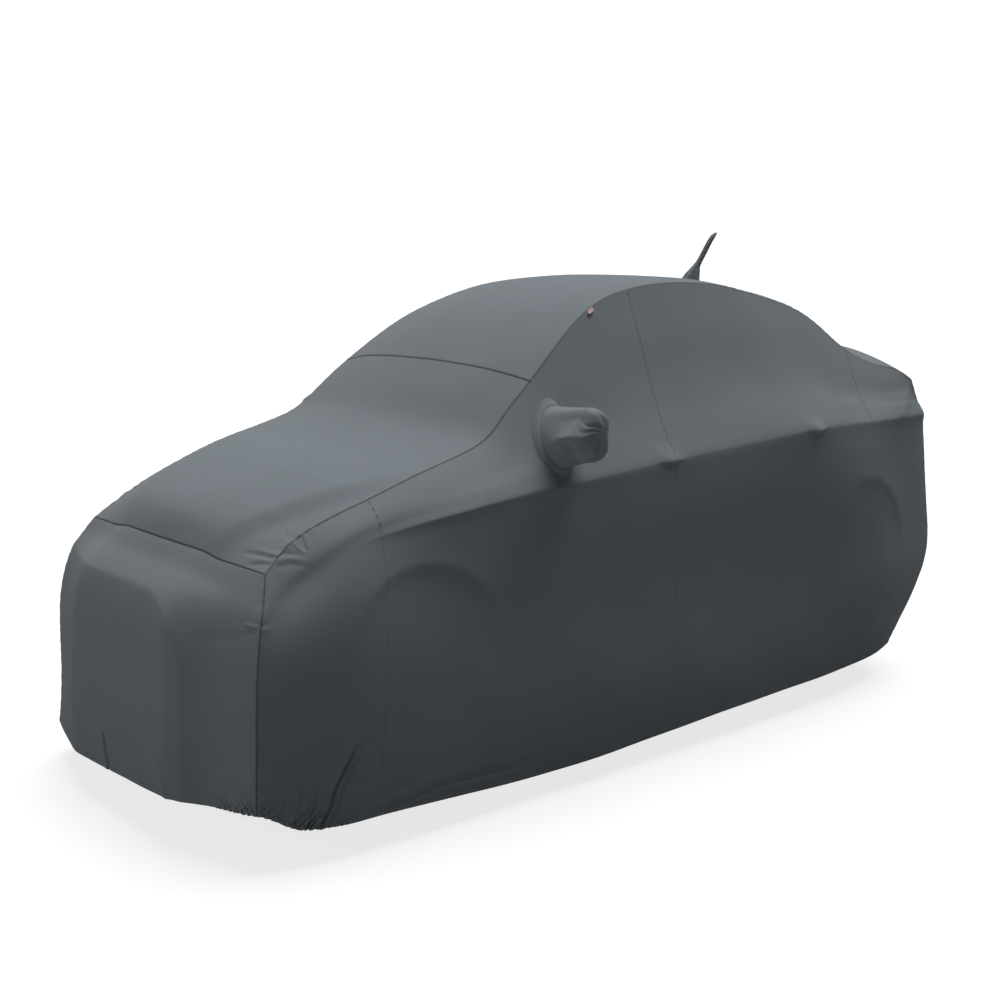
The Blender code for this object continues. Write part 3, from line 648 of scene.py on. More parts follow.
def side_surface(station, level):
    """The left side: at each station a cubic section through the roof seam, two bowed
    rows between it and the shoulder, then shoulder, flank, sill and hem. The shoulder
    has a soft ridge that comes to an edge."""
    seam, shoulder, flank, sill, hem = (
        long_line(table, station) for table in (ROOF_SEAM, SHOULDER, FLANK, SILL, HEM)
    )
    chord = shoulder - seam
    outward = unit(np.stack([-chord[:, 2], np.zeros(len(station)), chord[:, 0]], -1))
    cabin = between(station, *CABIN_STATIONS)[:, None]
    front, rear = GLASS_ENDS
    ends = np.minimum(smooth(station, *front), 1 - smooth(station, *rear))[:, None]
    upper, lower = (
        seam + share * chord + outward * (bow + more * cabin) * ends for share, bow, more in GLASS_ROWS
    )
    lines = np.stack([seam, upper, lower, shoulder, flank, sill, hem])
    grid = np.transpose(spline(SIDE_LEVELS, lines, level), (1, 0, 2))
    grid[..., 0] += (side_relief(grid) + fold_relief(grid)) * smooth(level, 0.0, RELIEF_LEVEL)
    ridge = SHOULDER_RIDGE * bump(level, 1.0, SHOULDER_RIDGE_REACH)
    ridge = ridge + SHOULDER_CUSP * cusp(level, 1.0, SHOULDER_CUSP_REACH)
    grid[..., 0] += ridge * smooth(station, *SHOULDER_STARTS)[:, None]
    return grid


def top_surface(station, across):
    """Bonnet or roof: every station is an arch between the two roof seams, through the
    middle line, with the raised middle of the bonnet stepping down to its edges."""
    edge = long_line(ROOF_SEAM, station)
    middle = np.array(TOP_MIDDLE)
    middle = spline(middle[:, 0], middle[:, 1:], station)
    w = across[None, :]
    grid = np.empty((len(station), len(across), 3))
    grid[..., 0] = edge[:, :1] * w
    grid[..., 1] = edge[:, 1:2] + (middle[:, :1] - edge[:, 1:2]) * (1 - w**2)
    grid[..., 2] = edge[:, 2:] + (middle[:, 1:] - edge[:, 2:]) * (1 - np.abs(w) ** CROWN_POWER)
    edges = np.array(BONNET_EDGES)
    step_x, rise = (np.interp(station, edges[:, 0], edges[:, k])[:, None] for k in (1, 2))
    beyond = smooth(np.abs(grid[..., 0]) - step_x, *BONNET_STEP)
    grid[..., 2] += rise * (1 - beyond) * (1 - w**BONNET_STEP_POWER)
    return grid


def end_surface(across, level, station, middle, flat):
    """Nose or tail: at every level a plan curve from corner seam to corner seam. Its
    middle share, flat, runs straight across and the rest turns back to the corners."""
    corner = side_surface(np.array([station]), level)[0]
    middle = spline([row[0] for row in middle], np.array(middle)[:, 1:], level)
    w = np.abs(across)[:, None]
    turn = np.sqrt(np.maximum(w - flat, 0) ** 2 + TURN_ROUND**2) - TURN_ROUND
    turn /= np.sqrt((1 - flat) ** 2 + TURN_ROUND**2) - TURN_ROUND
    back = END_SWEEP * w**2 + (1 - END_SWEEP) * turn
    grid = np.empty((len(across), len(level), 3))
    grid[..., 0] = across[:, None] * corner[:, 0]
    grid[..., 1] = middle[:, 0] + (corner[:, 1] - middle[:, 0]) * back
    grid[..., 2] = middle[:, 1] + (corner[:, 2] - middle[:, 1]) * w**END_DROOP_POWER
    seam = top_surface(np.array([station]), across)[0]
    return grid + (seam - grid[:, 0])[:, None] * (1 - smooth(level, 0.0, END_LIFT_LEVEL))[:, None]


def inward(point):
    """Direction from the cloth to the middle of the car: towards a core that is narrow,
    short of both ends and no higher than the lower part of the cabin."""
    x, y, z = point[..., 0], point[..., 1], point[..., 2]
    lift = smooth(y, *CABIN_LIFTS) * (1 - CABIN_DROP * smooth(y, *CABIN_DROPS))
    core_z = np.minimum(z, CORE_HEIGHT + CABIN_LIFT * lift)
    return unit(np.stack([CORE_WIDTH * x, np.clip(y, *CORE_ENDS), core_z], -1) - point)


def raised(point, height):
    """Points moved outwards by a height."""
    return point - np.asarray(height)[..., None] * inward(point)


def aslant(points):
    """Lets the nose's hem down towards the right-hand corner and up towards the left."""
    x, y, z = points[..., 0], points[..., 1], points[..., 2]
    fade = (1 - smooth(z, *NOSE_SLANT_TOP)) * (1 - smooth(y, *NOSE_SLANT_BACK))
    return points + (NOSE_SLANT * x * fade)[..., None] * np.array([0.0, 0.0, 1.0])


def to_origin(points):
    """From heights above the ground to the model's own origin."""
    return aslant(points) - np.array([0.0, HOLD_Y, HOLD_Z])


def soft_waves(point):
    """Slight unevenness of the drawn cloth: a sum of sines in seeded directions."""
    random = np.random.default_rng(SEED)
    out = np.zeros(point.shape[:-1])
    for _ in range(WAVES):
        direction = random.normal(size=3)
        direction *= 2 * np.pi / (random.uniform(*WAVE_LENGTHS) * np.linalg.norm(direction))
        out += np.sin(point @ direction + random.uniform(0, 2 * np.pi))
    return settings("cloth").wave * out / np.sqrt(WAVES / 2)


def folds(point, table):
    """Height times a bell of the distance to each fold's line, coming in over the first
    part of its length and, where it fades, going out over the last."""
    out = np.zeros(point.shape[:-1])
    for height, width, fades, line in table:
        nearest, share = to_line(point, line)
        taper = smooth(share, 0, FOLD_STARTS) * (1 - fades * smooth(share, FOLD_FADES, 1))
        out += height * bump(nearest, 0, width) * taper
    return out


def nose_relief(point, top_distance, corner_distance):
    """The nose's flat face rises to an edge above and on the left. Beyond it the cloth
    falls away, D(1 - exp(-d / reach)), and it comes back at the seams."""
    half, top, rounding = NOSE_FACE
    beside = point[..., 0] - (half - rounding)
    above = point[..., 2] - (top - rounding)
    outside = np.hypot(np.maximum(beside, 0), np.maximum(above, 0)) - rounding
    outside = np.where(outside < 0, np.maximum(outside, np.maximum(beside, above) - rounding), outside)
    fall = 1 - np.exp(-np.maximum(outside, 0) / NOSE_FALL_REACH)
    lip = cusp(outside, 0, NOSE_LIP_REACH) * smooth(point[..., 2], *NOSE_LIP_HEIGHTS)
    from_top, from_corner = NOSE_FALL_FROM
    within = smooth(top_distance, 0, from_top) * smooth(corner_distance, 0, from_corner)
    return (NOSE_LIP * lip - NOSE_FALL * fall) * within


def lengths(grid, axis):
    """Length over the cloth along one axis of a grid, from its first line."""
    step = np.linalg.norm(np.diff(grid, axis=axis), axis=-1)
    return np.insert(np.cumsum(step, axis=axis), 0, 0, axis=axis)


def flat_map(*directions):
    """UV: a length over the cloth in each of two directions."""
    return np.stack(np.broadcast_arrays(*directions), -1)


def wander(along, slow, quick):
    """Two long sines that make a pace speed up and slow down."""
    return slow * np.sin(along / 6.1) + quick * np.sin(along / 2.3 + 1)


def ripple(along):
    """A sine whose pace wanders."""
    return np.sin(along + wander(along, 1.7, 0.8))


def gathered(along):
    """Round gathers between narrow valleys, 2|sin| - 1.25, at a pace that wanders."""
    return 2 * np.abs(np.sin(along / 2 + wander(along, 0.9, 0.5))) - 1.25


def grooves(*distances):
    """A groove wherever the nearest seam is close."""
    seams = settings("seams")
    return -seams.groove * bump(np.minimum.reduce(distances), 0, seams.groove_width)


def puckers(distance, along, total, strength):
    """Puckers that run out of a seam and die away, and leave its two ends flat."""
    seams = settings("seams")
    ends = smooth(along, 0, PUCKER_ENDS) * smooth(total - along, 0, PUCKER_ENDS)
    height = seams.pucker_height * strength * ends
    return height * ripple(2 * np.pi * along / seams.pucker) * np.exp(-distance / seams.pucker_reach)


def hem_relief(height, along, envelope):
    """The casing bulges over its cord. Fine gathers, a share as large and as wide as the
    long ones, run round it, and the long ones lean back as they run up from it."""
    hem = settings("hem")
    casing = hem.bulge * bump(height, hem.casing * 0.5, hem.casing * 0.4)
    fine = FINE_GATHERS * hem.gather_height * np.exp(-height / (FINE_GATHER_REACH * hem.gather_reach))
    fine = fine * gathered(2 * np.pi * along / (FINE_GATHERS * hem.gather))
    uneven = 1 - GATHER_UNEVEN + GATHER_UNEVEN * np.sin(along * GATHER_UNEVEN_PACE + 1)
    leaning = along - hem.lean * height
    gathers = hem.gather_height * uneven * np.exp(-((height / hem.gather_reach) ** 1.5))
    return casing + envelope * (fine + gathers * gathered(2 * np.pi * leaning / hem.gather))


def graded(start, stop, lines, detail):
    """Points from start to stop, closer together where the detail asks for it: the
    running total of lines per unit is cut into even parts."""
    fine = np.linspace(start, stop, 4001)
    rate = lines + sum(extra * bump(fine, centre, reach) for centre, reach, extra in detail)
    total = np.insert(np.cumsum((rate[1:] + rate[:-1]) / 2 * np.diff(fine)), 0, 0)
    return np.interp(np.linspace(0, total[-1], int(np.ceil(total[-1])) + 1), total, fine)


def stations_between(start, end):
    """Stations of one panel, half a gap short of its seams. Neighbours share them."""
    stops = sorted({FIRST, *SIDE_SEAMS, WINDSCREEN_SEAM, LAST})
    spans = [(a, b) for a, b in zip(stops, stops[1:]) if a >= start and b <= end]
    line = np.concatenate([graded(a, b, STATION_LINES, STATION_DETAIL) for a, b in spans])
    line = np.unique(np.round(line, 9))
    line[0] += SEAM_GAP / 2
    line[-1] -= SEAM_GAP / 2
    return line


def levels(name):
    """Levels of one panel, from the roof seam to the hem."""
    detail = LEVEL_DETAIL + CORNER_DETAIL if name in ("wing", "nose") else LEVEL_DETAIL
    line = graded(0.0, SIDE_LEVELS[-1], LEVEL_LINES, detail)
    line[0] = SEAM_GAP / METRES_PER_LEVEL
    return line


def across_lines(front=False, pleat=()):
    """Lines from one side to the other, closer together towards both seams and, if
    wanted, at a pleat right of the middle."""
    detail = ACROSS_DETAIL + FRONT_DETAIL if front else ACROSS_DETAIL
    left, right = (graded(0.0, 1.0, ACROSS_LINES, more) for more in (detail, detail + pleat))
    left[-1] = right[-1] = 1 - ACROSS_GAP
    return np.concatenate([-right[:0:-1], left])


def line_length(points):
    """Length along a line of points, from its first one."""
    return np.insert(np.cumsum(np.linalg.norm(np.diff(points, axis=0), axis=1)), 0, 0)


def length_at(points, knots, at):
    """Length along a dense line at given knots, and its whole length."""
    total = line_length(points)
    return np.interp(at, knots, total), total[-1]


def station_lengths(station):
    """Length along the roof seam up to each station."""
    dense = np.linspace(FIRST, LAST, 800)
    return length_at(long_line(ROOF_SEAM, dense), dense, station)


def level_lengths(station, level):
    """Length down the side at one station, up to each level."""
    dense = np.linspace(0, SIDE_LEVELS[-1], 400)
    return length_at(side_surface(np.array([station]), dense)[0], dense, level)


def cross_lengths(station, across):
    """Length across the top at one station."""
    dense = np.linspace(-1, 1, 300)
    return length_at(top_surface(np.array([station]), dense)[0], dense, across)


def roof_seam_strength(station):
    """How much more than other seams the roof seam puckers."""
    return ROOF_PUCKERS + sum(more * bump(station, at, reach) for more, at, reach in MORE_ROOF_PUCKERS)


def side_panel(name, start, end, hand):
    """One side panel: the side's surface between two seams, moved along the outward
    direction by soft waves, folds, seams, puckers and the hem. hand is 1 for the left."""
    flip = np.array([hand, 1.0, 1.0])
    seams = settings("seams")
    station, level = stations_between(start, end), levels(name)
    base = side_surface(station, level)
    down = lengths(base, 1)
    ahead = lengths(base, 0)
    behind = ahead[-1:] - ahead
    along, whole = station_lengths(station)
    relief = soft_waves(base * flip) + folds(base[..., 1:], SIDE_FOLDS) + grooves(down)
    relief += puckers(down, along[:, None], whole, roof_seam_strength(station)[:, None])
    shaded = [down]
    for seam, distance in ((start, ahead), (end, behind)):
        corner = seam in (FIRST, LAST)
        relief += (1.0 if corner else seams.upright) * grooves(distance) * smooth(down, 0, SEAM_FADE)
        run, total = level_lengths(seam, level)
        relief += puckers(distance, run, total, CORNER_PUCKERS if corner else UPRIGHT_PUCKERS)
        shaded.append(distance if corner else distance + UPRIGHT_FAINT)
    hem_along = ahead[:, -1:] + (0.0 if start == FIRST else HEM_SHIFT)
    near = SIDE_GATHERS + 1 - smooth(station, *CORNER_GATHERS_END)
    near *= smooth(np.minimum(station - FIRST, LAST - station), 0, HEM_SEAM_FADE)
    near *= 1.0 if hand > 0 else RIGHT_GATHERS
    relief += hem_relief(down[:, -1:] - down, hem_along, near[:, None])
    return raised(base, relief) * flip, flat_map(along[:, None], down), np.minimum.reduce(shaded)


def top_panel(start, end):
    """Bonnet or roof, moved outwards in the same way. The groove of the windscreen seam
    stops short of the roof seams."""
    station, across = stations_between(start, end), across_lines(start == FIRST)
    base = top_surface(station, across)
    left = lengths(base, 1)
    edge = np.minimum(left, left[:, -1:] - left)
    ahead = lengths(base, 0)
    behind = ahead[-1:] - ahead
    along, whole = station_lengths(station)
    relief = soft_waves(base) + folds(base[..., :2], BONNET_FOLDS)
    at_roof_seam = 1 - smooth(edge, 0, SEAM_FADE)
    first = ahead if start == FIRST else ahead + at_roof_seam
    last = behind if end == LAST else behind + at_roof_seam
    relief += grooves(edge, first, last)
    relief += puckers(edge, along[:, None], whole, roof_seam_strength(station)[:, None])
    for seam, distance in ((start, ahead), (end, behind)):
        run, total = cross_lengths(seam, across)
        relief += puckers(distance, run, total, CORNER_PUCKERS)
    uv = flat_map(left - left[:, -1:] / 2, along[:, None])
    return raised(base, relief), uv, np.minimum.reduce([edge, ahead, behind])


def end_panel(name):
    """Nose or tail, moved outwards in the same way."""
    nose = name == "nose"
    station, middle, flat = (FIRST, NOSE_MIDDLE, NOSE_FLAT) if nose else (LAST, TAIL_MIDDLE, TAIL_FLAT)
    across, level = across_lines(nose, PLEAT_DETAIL if nose else ()), levels(name)
    base = end_surface(across, level, station, middle, flat)
    down = lengths(base, 1)
    left = lengths(base, 0)
    edge = np.minimum(left, left[-1:] - left)
    hem_along = edge[:, -1:]
    near = TAIL_GATHERS
    relief = soft_waves(base) + grooves(down, edge)
    if nose:
        relief += folds(base[..., ::2], NOSE_FOLDS) + nose_relief(base, down, edge)
        left_corner = smooth(base[:, -1:, 0], *NOSE_GATHERS_LEFT)
        near = NOSE_GATHERS + (1 - smooth(hem_along, *NOSE_GATHERS_END)) * left_corner
    run, total = cross_lengths(station, across)
    relief += puckers(down, run[:, None], total, CORNER_PUCKERS)
    relief += puckers(edge, *level_lengths(station, level), CORNER_PUCKERS)
    relief += hem_relief(down[:, -1:] - down, hem_along, near * smooth(hem_along, 0, HEM_SEAM_FADE))
    return raised(base, relief), flat_map(left - left[-1:] / 2, down), np.minimum(down, edge)


def shell(grid, wall, keep=None, ring=False, tip=False):
    """Closes a grid of points into a sheet: its quads, a copy moved by the wall, and a
    rim along every edge that has no neighbour. keep says which quads stay; a ring's
    columns close on themselves, and a tip closes the last row on its middle point."""
    rows, columns = grid.shape[:2]
    number = np.arange(rows * columns).reshape(rows, columns)
    points = grid.reshape(-1, 3)
    walls = wall.reshape(-1, 3)
    net = np.hstack([number, number[:, :1]]) if ring else number
    quads = np.stack([net[:-1, :-1], net[:-1, 1:], net[1:, 1:], net[1:, :-1]], -1)
    quads = (quads if keep is None else quads[keep]).reshape(-1, 4)
    triangles = np.empty((0, 3), int)
    if tip:
        points = np.vstack([points, grid[-1].mean(0)])
        walls = np.vstack([walls, wall[-1].mean(0)])
        last = number[-1]
        triangles = np.stack([last, np.roll(last, -1), np.full_like(last, rows * columns)], -1)
    under = len(points)
    starts = np.concatenate([quads.ravel(), triangles.ravel()])
    ends = np.concatenate([np.roll(quads, -1, 1).ravel(), np.roll(triangles, -1, 1).ravel()])
    bare = ~np.isin(starts * under + ends, ends * under + starts)
    a, b = starts[bare], ends[bare]
    rim = np.stack([b, a, a + under, b + under], -1)
    faces = np.concatenate([quads, quads[:, ::-1] + under, rim])
    return np.vstack([points, points + walls]), faces, np.concatenate([triangles, triangles[:, ::-1] + under])


def doubled(values, points):
    """Values for the outer points, one more for a tip if there is one, and again inside."""
    values = values.reshape(-1, values.shape[-1])
    if len(values) < len(points) // 2:
        values = np.vstack([values, values[-1:]])
    return np.vstack([values, values])


def fill(data, name, values, kind=np.float32):
    """Sets one property of all of a mesh's points, corners or faces."""
    data.foreach_set(name, np.asarray(values).astype(kind).ravel())


def add_piece(name, parts, material, uv=None, marks=None):
    """Puts points, quads and triangles into a mesh, dropping points that no face uses.
    uv and marks are given for the outer points and repeat on the inner ones."""
    points, quads, triangles = parts
    corners = np.concatenate([quads.ravel(), triangles.ravel()])
    used, loops = np.unique(corners, return_inverse=True)
    sizes = np.repeat([4, 3], [len(quads), len(triangles)])
    mesh = bpy.data.meshes.new(name)
    mesh.vertices.add(len(used))
    fill(mesh.vertices, "co", to_origin(points[used]))
    mesh.loops.add(len(loops))
    fill(mesh.loops, "vertex_index", loops, np.int32)
    mesh.polygons.add(len(sizes))
    fill(mesh.polygons, "loop_start", np.cumsum(sizes) - sizes, np.int32)
    fill(mesh.polygons, "use_smooth", np.ones(len(sizes)), bool)
    mesh.update(calc_edges=True)
    if uv is not None:
        fill(mesh.uv_layers.new(name="UVMap").data, "uv", doubled(uv, points)[corners])
    if marks is not None:
        near = mesh.attributes.new("seam_distance", "FLOAT", "POINT")
        fill(near.data, "value", doubled(marks[..., None], points)[used])
    mesh.validate()
    mesh.set_sharp_from_angle(angle=np.radians(60))
    mesh.materials.append(material)
    made = bpy.data.objects.new(name, mesh)
    bpy.context.scene.collection.objects.link(made)
    return made


def dress(made, nodes):
    """Rides a piece on the cover, in place of its nodes."""
    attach(made, "root")
    if nodes:
        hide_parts(*nodes)
    return made


# Materials


def node(tree, kind, *inputs, **values):
    """A node with its properties set and its first inputs filled or linked."""
    made = tree.nodes.new(kind)
    for name, value in values.items():
        setattr(made, name, value)
    for socket, value in zip(made.inputs, inputs):
        if isinstance(value, bpy.types.NodeSocket):
            tree.links.new(value, socket)
        elif value is not None:
            socket.default_value = value
    return made


def maths(tree, operation, *inputs):
    """The result of one step of arithmetic."""
    return node(tree, "ShaderNodeMath", *inputs, operation=operation).outputs[0]


def new_material(name, roughness, specular=0.5):
    """A material, its node tree and the inputs of its Principled BSDF."""
    material = bpy.data.materials.new(name)
    material.use_nodes = True
    shader = material.node_tree.nodes["Principled BSDF"].inputs
    shader["Roughness"].default_value = roughness
    shader["Specular IOR Level"].default_value = specular
    return material, material.node_tree, shader


def mix(tree, share, low, high):
    """A colour between two others."""
    made = node(tree, "ShaderNodeMix", share, data_type="RGBA")
    made.inputs[6].default_value = (*low, 1.0)
    made.inputs[7].default_value = (*high, 1.0)
    return made.outputs[2]


def emboss(tree, shader, height, distance, strength=1.0):
    """A fine relief in the material's normal."""
    made = node(tree, "ShaderNodeBump", strength, distance)
    tree.links.new(height, made.inputs["Height"])
    tree.links.new(made.outputs[0], shader["Normal"])


def knit_group():
    """Colour and height of a fine knit: V-shaped loops in columns and rows, darkened between the loops by
    painted shade, patches of slightly lighter and darker cloth, loose fibres, and a dark line of painted
    shade along each seam's groove."""
    if "knit" in bpy.data.node_groups:
        return bpy.data.node_groups["knit"]
    tree = bpy.data.node_groups.new("knit", "ShaderNodeTree")
    for name, way, kind in (
        ("Weave", "INPUT", "Vector"),
        ("Place", "INPUT", "Vector"),
        ("Cloth", "INPUT", "Color"),
        ("Wale", "INPUT", "Float"),
        ("Course", "INPUT", "Float"),
        ("Seam distance", "INPUT", "Float"),
        ("Painted seam shade", "INPUT", "Float"),
        ("Colour", "OUTPUT", "Color"),
        ("Height", "OUTPUT", "Float"),
    ):
        tree.interface.new_socket(name=name, in_out=way, socket_type=f"NodeSocket{kind}")
    given = tree.nodes.new("NodeGroupInput").outputs
    calc = partial(maths, tree)
    split = node(tree, "ShaderNodeSeparateXYZ", given["Weave"]).outputs
    column = calc("FRACT", calc("DIVIDE", split[0], given["Wale"]))
    lean = calc("ABSOLUTE", calc("SUBTRACT", column, 0.5))
    row = calc("ADD", calc("DIVIDE", split[1], given["Course"]), lean)
    loop = calc("ABSOLUTE", calc("SINE", calc("MULTIPLY", row, np.pi)))
    rib = calc("SINE", calc("MULTIPLY", column, np.pi))
    height = calc("MULTIPLY", loop, calc("POWER", rib, 0.5))
    patches, fibres = (
        node(tree, "ShaderNodeTexNoise", given["Place"], None, *noise).outputs[0]
        for noise in (KNIT_PATCHES, KNIT_FIBRES)
    )
    patch_tone, fibre_tone, painted_loop_shade, painted_shade_between_loops = KNIT_TONES_AND_LOOP_SHADE
    tone = calc("MULTIPLY_ADD", patches, patch_tone, 1 - patch_tone / 2)
    tone = calc("MULTIPLY_ADD", calc("SUBTRACT", fibres, 0.5), fibre_tone, tone)
    # painted shade: the knit's colour is darker between its loops, where shade falls in the hollows
    tone = calc("MULTIPLY", tone, calc("MULTIPLY_ADD", height, painted_loop_shade, painted_shade_between_loops))
    # painted shade: the colour darkens along each seam, where its groove is shaded
    seam = calc("EXPONENT", calc("DIVIDE", given["Seam distance"], -SEAM_PAINTED_SHADE_REACH))
    shade = calc("SUBTRACT", 1.0, calc("MULTIPLY", seam, given["Painted seam shade"]))
    colour = node(tree, "ShaderNodeVectorMath", given["Cloth"], operation="SCALE")
    tree.links.new(calc("MULTIPLY", tone, shade), colour.inputs["Scale"])
    node(tree, "NodeGroupOutput", colour.outputs[0], height)
    return tree


def cover_knit():
    """Matt knit cloth: the knit group drives colour and a fine bump."""
    if "cover_knit" in bpy.data.materials:
        return bpy.data.materials["cover_knit"]
    cloth = settings("cloth")
    material, tree, shader = new_material("cover_knit", cloth.roughness, 0.25)
    weave = node(tree, "ShaderNodeUVMap", uv_map="UVMap").outputs[0]
    place = node(tree, "ShaderNodeTexCoord").outputs["Object"]
    near = node(tree, "ShaderNodeAttribute", attribute_name="seam_distance").outputs["Fac"]
    given = (weave, place, (*cloth.colour, 1.0), cloth.wale, cloth.course, near, SEAM_PAINTED_SHADE)
    knit = node(tree, "ShaderNodeGroup", *given, node_tree=knit_group()).outputs
    emboss(tree, shader, knit["Height"], cloth.loop_height, 0.5)
    tree.links.new(knit["Colour"], shader["Base Color"])
    shader["Sheen Weight"].default_value = 0.04
    shader["Sheen Roughness"].default_value = 0.6
    return material


def thread_material():
    """Twisted thread: a dark colour with a fine slanting band."""
    if "thread" in bpy.data.materials:
        return bpy.data.materials["thread"]
    material, tree, shader = new_material("thread", 0.7)
    place = node(tree, "ShaderNodeTexCoord").outputs["Object"]
    twist = node(tree, "ShaderNodeTexWave", place, 600.0, bands_direction="DIAGONAL")
    colour = np.array(settings("seams").thread_colour)
    tree.links.new(mix(tree, twist.outputs["Fac"], colour * 0.7, colour * 1.5), shader["Base Color"])
    return material


def label_material():
    """Woven tape: a plain weave in relief and slight shading from thread to thread."""
    material, tree, shader = new_material("label_tape", 0.75)
    weave = node(tree, "ShaderNodeUVMap", uv_map="UVMap").outputs[0]
    light, dark = (*LABEL_COLOUR, 1.0), (*(np.array(LABEL_COLOUR) * 0.7), 1.0)
    checks = node(tree, "ShaderNodeTexChecker", weave, light, dark, 1400.0).outputs
    tree.links.new(checks["Color"], shader["Base Color"])
    emboss(tree, shader, checks["Fac"], 0.0002)
    return material


def floor_material():
    """A pale floor with faint mottling. What the camera sees of it is lifted towards
    white, and it throws little light back."""
    stage = settings("stage")
    material, tree, shader = new_material("floor_paint", 0.9, 0.1)
    place = node(tree, "ShaderNodeTexCoord").outputs["Object"]
    cloud = node(tree, "ShaderNodeTexNoise", place, None, 0.8, 2.0, 0.5).outputs[0]
    colour = np.array(stage.floor)
    tree.links.new(mix(tree, cloud, colour * 0.98, colour), shader["Base Color"])
    seen = node(tree, "ShaderNodeLightPath").outputs["Is Camera Ray"]
    tree.links.new(maths(tree, "MULTIPLY", seen, stage.paleness), shader["Emission Color"])
    shader["Emission Strength"].default_value = 1.0
    return material


# Stitches


def offset_line(grid, distance):
    """The line over a grid at a distance from its first column, found by length across
    the grid."""
    run = lengths(grid, 1)
    last = (run < distance).sum(axis=1).clip(1, grid.shape[1] - 1)
    own = np.arange(len(grid))
    low, high = run[own, last - 1], run[own, last]
    share = ((distance - low) / (high - low))[:, None]
    return grid[own, last - 1] * (1 - share) + grid[own, last] * share


def stitches(lines, coarse):
    """A slim eight-sided bead for each stitch, set at equal lengths along the lines and
    half sunk in the cloth. coarse scales the stitches."""
    seams = settings("seams")
    pitch, half = coarse * seams.stitch_pitch, coarse * seams.stitch_length / 2
    thread = coarse**0.5 * seams.thread
    points = []
    for line in lines:
        total = line_length(line)
        at = (np.arange(int(total[-1] / pitch)) + 0.5) * pitch
        middle, ahead = (
            np.stack([np.interp(at + step, total, line[:, k]) for k in range(3)], -1) for step in (0, 0.002)
        )
        along = unit(ahead - middle)
        side = unit(np.cross(along, -inward(middle)))
        out = np.cross(side, along)
        middle = middle + THREAD_PROUD * thread * out
        corners = [-half * along, thread * out, thread * side, -thread * out, -thread * side, half * along]
        points.append(np.stack([middle + c for c in corners], 1).reshape(-1, 3))
    points = np.concatenate(points)
    bead = np.array([[0, 2, 1], [0, 3, 2], [0, 4, 3], [0, 1, 4], [5, 1, 2], [5, 2, 3], [5, 3, 4], [5, 4, 1]])
    faces = (np.arange(len(points) // 6)[:, None, None] * 6 + bead).reshape(-1, 3)
    return points, np.empty((0, 4), int), faces


def add_stitching(name, lines, coarse=1.0):
    """Adds the stitches of several lines as one piece, which stands for no node."""
    dress(add_piece(name, stitches(lines, coarse), thread_material()), ())


# Pieces


def sew_panel(panel, sheet, keep=None):
    """Adds one panel in place of its node: a sheet is its grid, UV and distance from the
    nearest seam."""
    grid, uv, seam = sheet
    made = add_piece(f"{panel}_cloth", shell(grid, CLOTH * inward(grid), keep), cover_knit(), uv, seam)
    dress(made, [panel])


def patch_share(station, level):
    """How far each quad's middle is from the mirror patch's centre, as a share of its reach."""
    s, v = (
        ((line[1:] + line[:-1]) / 2 - centre) / reach
        for line, centre, reach in zip((station, level), PATCH_CENTRE, PATCH_REACH)
    )
    return np.hypot(s[:, None], v)


class COVER_OT_side_panels(bpy.types.Operator):
    """Wing, front, rear and quarter panels on both sides, with their seams sewn"""

    bl_idname = "cover.side_panels"
    bl_label = "Side panels"

    def execute(self, context):
        stops = (FIRST, *SIDE_SEAMS, LAST)
        for hand, side in ((1, "left"), (-1, "right")):
            lines, upright = [], []
            for name, start, end in zip(SIDE_NAMES, stops, stops[1:]):
                sheet = [part[::hand] for part in side_panel(name, start, end, hand)]
                keep = None
                if name == "front":
                    keep = (patch_share(stations_between(start, end), levels(name)) > PATCH_HOLE)[::hand]
                sew_panel(f"{side}_{name}_panel", sheet, keep)
                grid = sheet[0]
                sewn = np.searchsorted(levels(name), STITCHES_TO)
                from_front, from_rear = (grid[::way].transpose(1, 0, 2) for way in (hand, -hand))
                lines.append(offset_line(grid, SEAM_STITCH))
                lines.append(offset_line(grid[:, ::-1], HEM_STITCH))
                if start == FIRST:
                    lines.append(offset_line(from_front, SEAM_STITCH)[:sewn])
                else:
                    upright.append(offset_line(from_front, UPRIGHT_STITCH)[:sewn])
                if end == LAST:
                    lines.append(offset_line(from_rear, SEAM_STITCH)[:sewn])
            add_stitching(f"{side}_side_stitching", lines)
            add_stitching(f"{side}_upright_stitching", upright, UPRIGHT_COARSE)
        return {"FINISHED"}


class COVER_OT_top_panels(bpy.types.Operator):
    """Bonnet and roof panels, with the windscreen seam between them"""

    bl_idname = "cover.top_panels"
    bl_label = "Top panels"

    def execute(self, context):
        lines = []
        for name, start, end in (("bonnet", FIRST, WINDSCREEN_SEAM), ("roof", WINDSCREEN_SEAM, LAST)):
            sheet = top_panel(start, end)
            grid = sheet[0]
            keep = None
            if name == "roof":
                y, _, half_width, half_length = ANTENNA_RINGS[0]
                middle = (grid[1:, 1:] + grid[:-1, :-1]) / 2
                off = np.hypot(middle[..., 0] / half_width, (middle[..., 1] - y) / half_length)
                keep = off > ANTENNA_HOLE
            sew_panel(f"{name}_panel", sheet, keep)
            for way in (1, -1):
                lines.append(offset_line(grid[::way].transpose(1, 0, 2), SEAM_STITCH))
        add_stitching("top_stitching", lines)
        return {"FINISHED"}


class COVER_OT_end_panels(bpy.types.Operator):
    """Nose and tail panels"""

    bl_idname = "cover.end_panels"
    bl_label = "Nose and tail"

    def execute(self, context):
        lines = []
        for name, way in (("nose", 1), ("tail", -1)):
            sheet = [part[::way] for part in end_panel(name)]
            sew_panel(f"{name}_panel", sheet)
            lines.append(offset_line(sheet[0][:, ::-1], HEM_STITCH))
        add_stitching("end_stitching", lines)
        return {"FINISHED"}


def angles(count):
    """Evenly spaced angles of a full turn."""
    return np.arange(count) * (2 * np.pi / count)


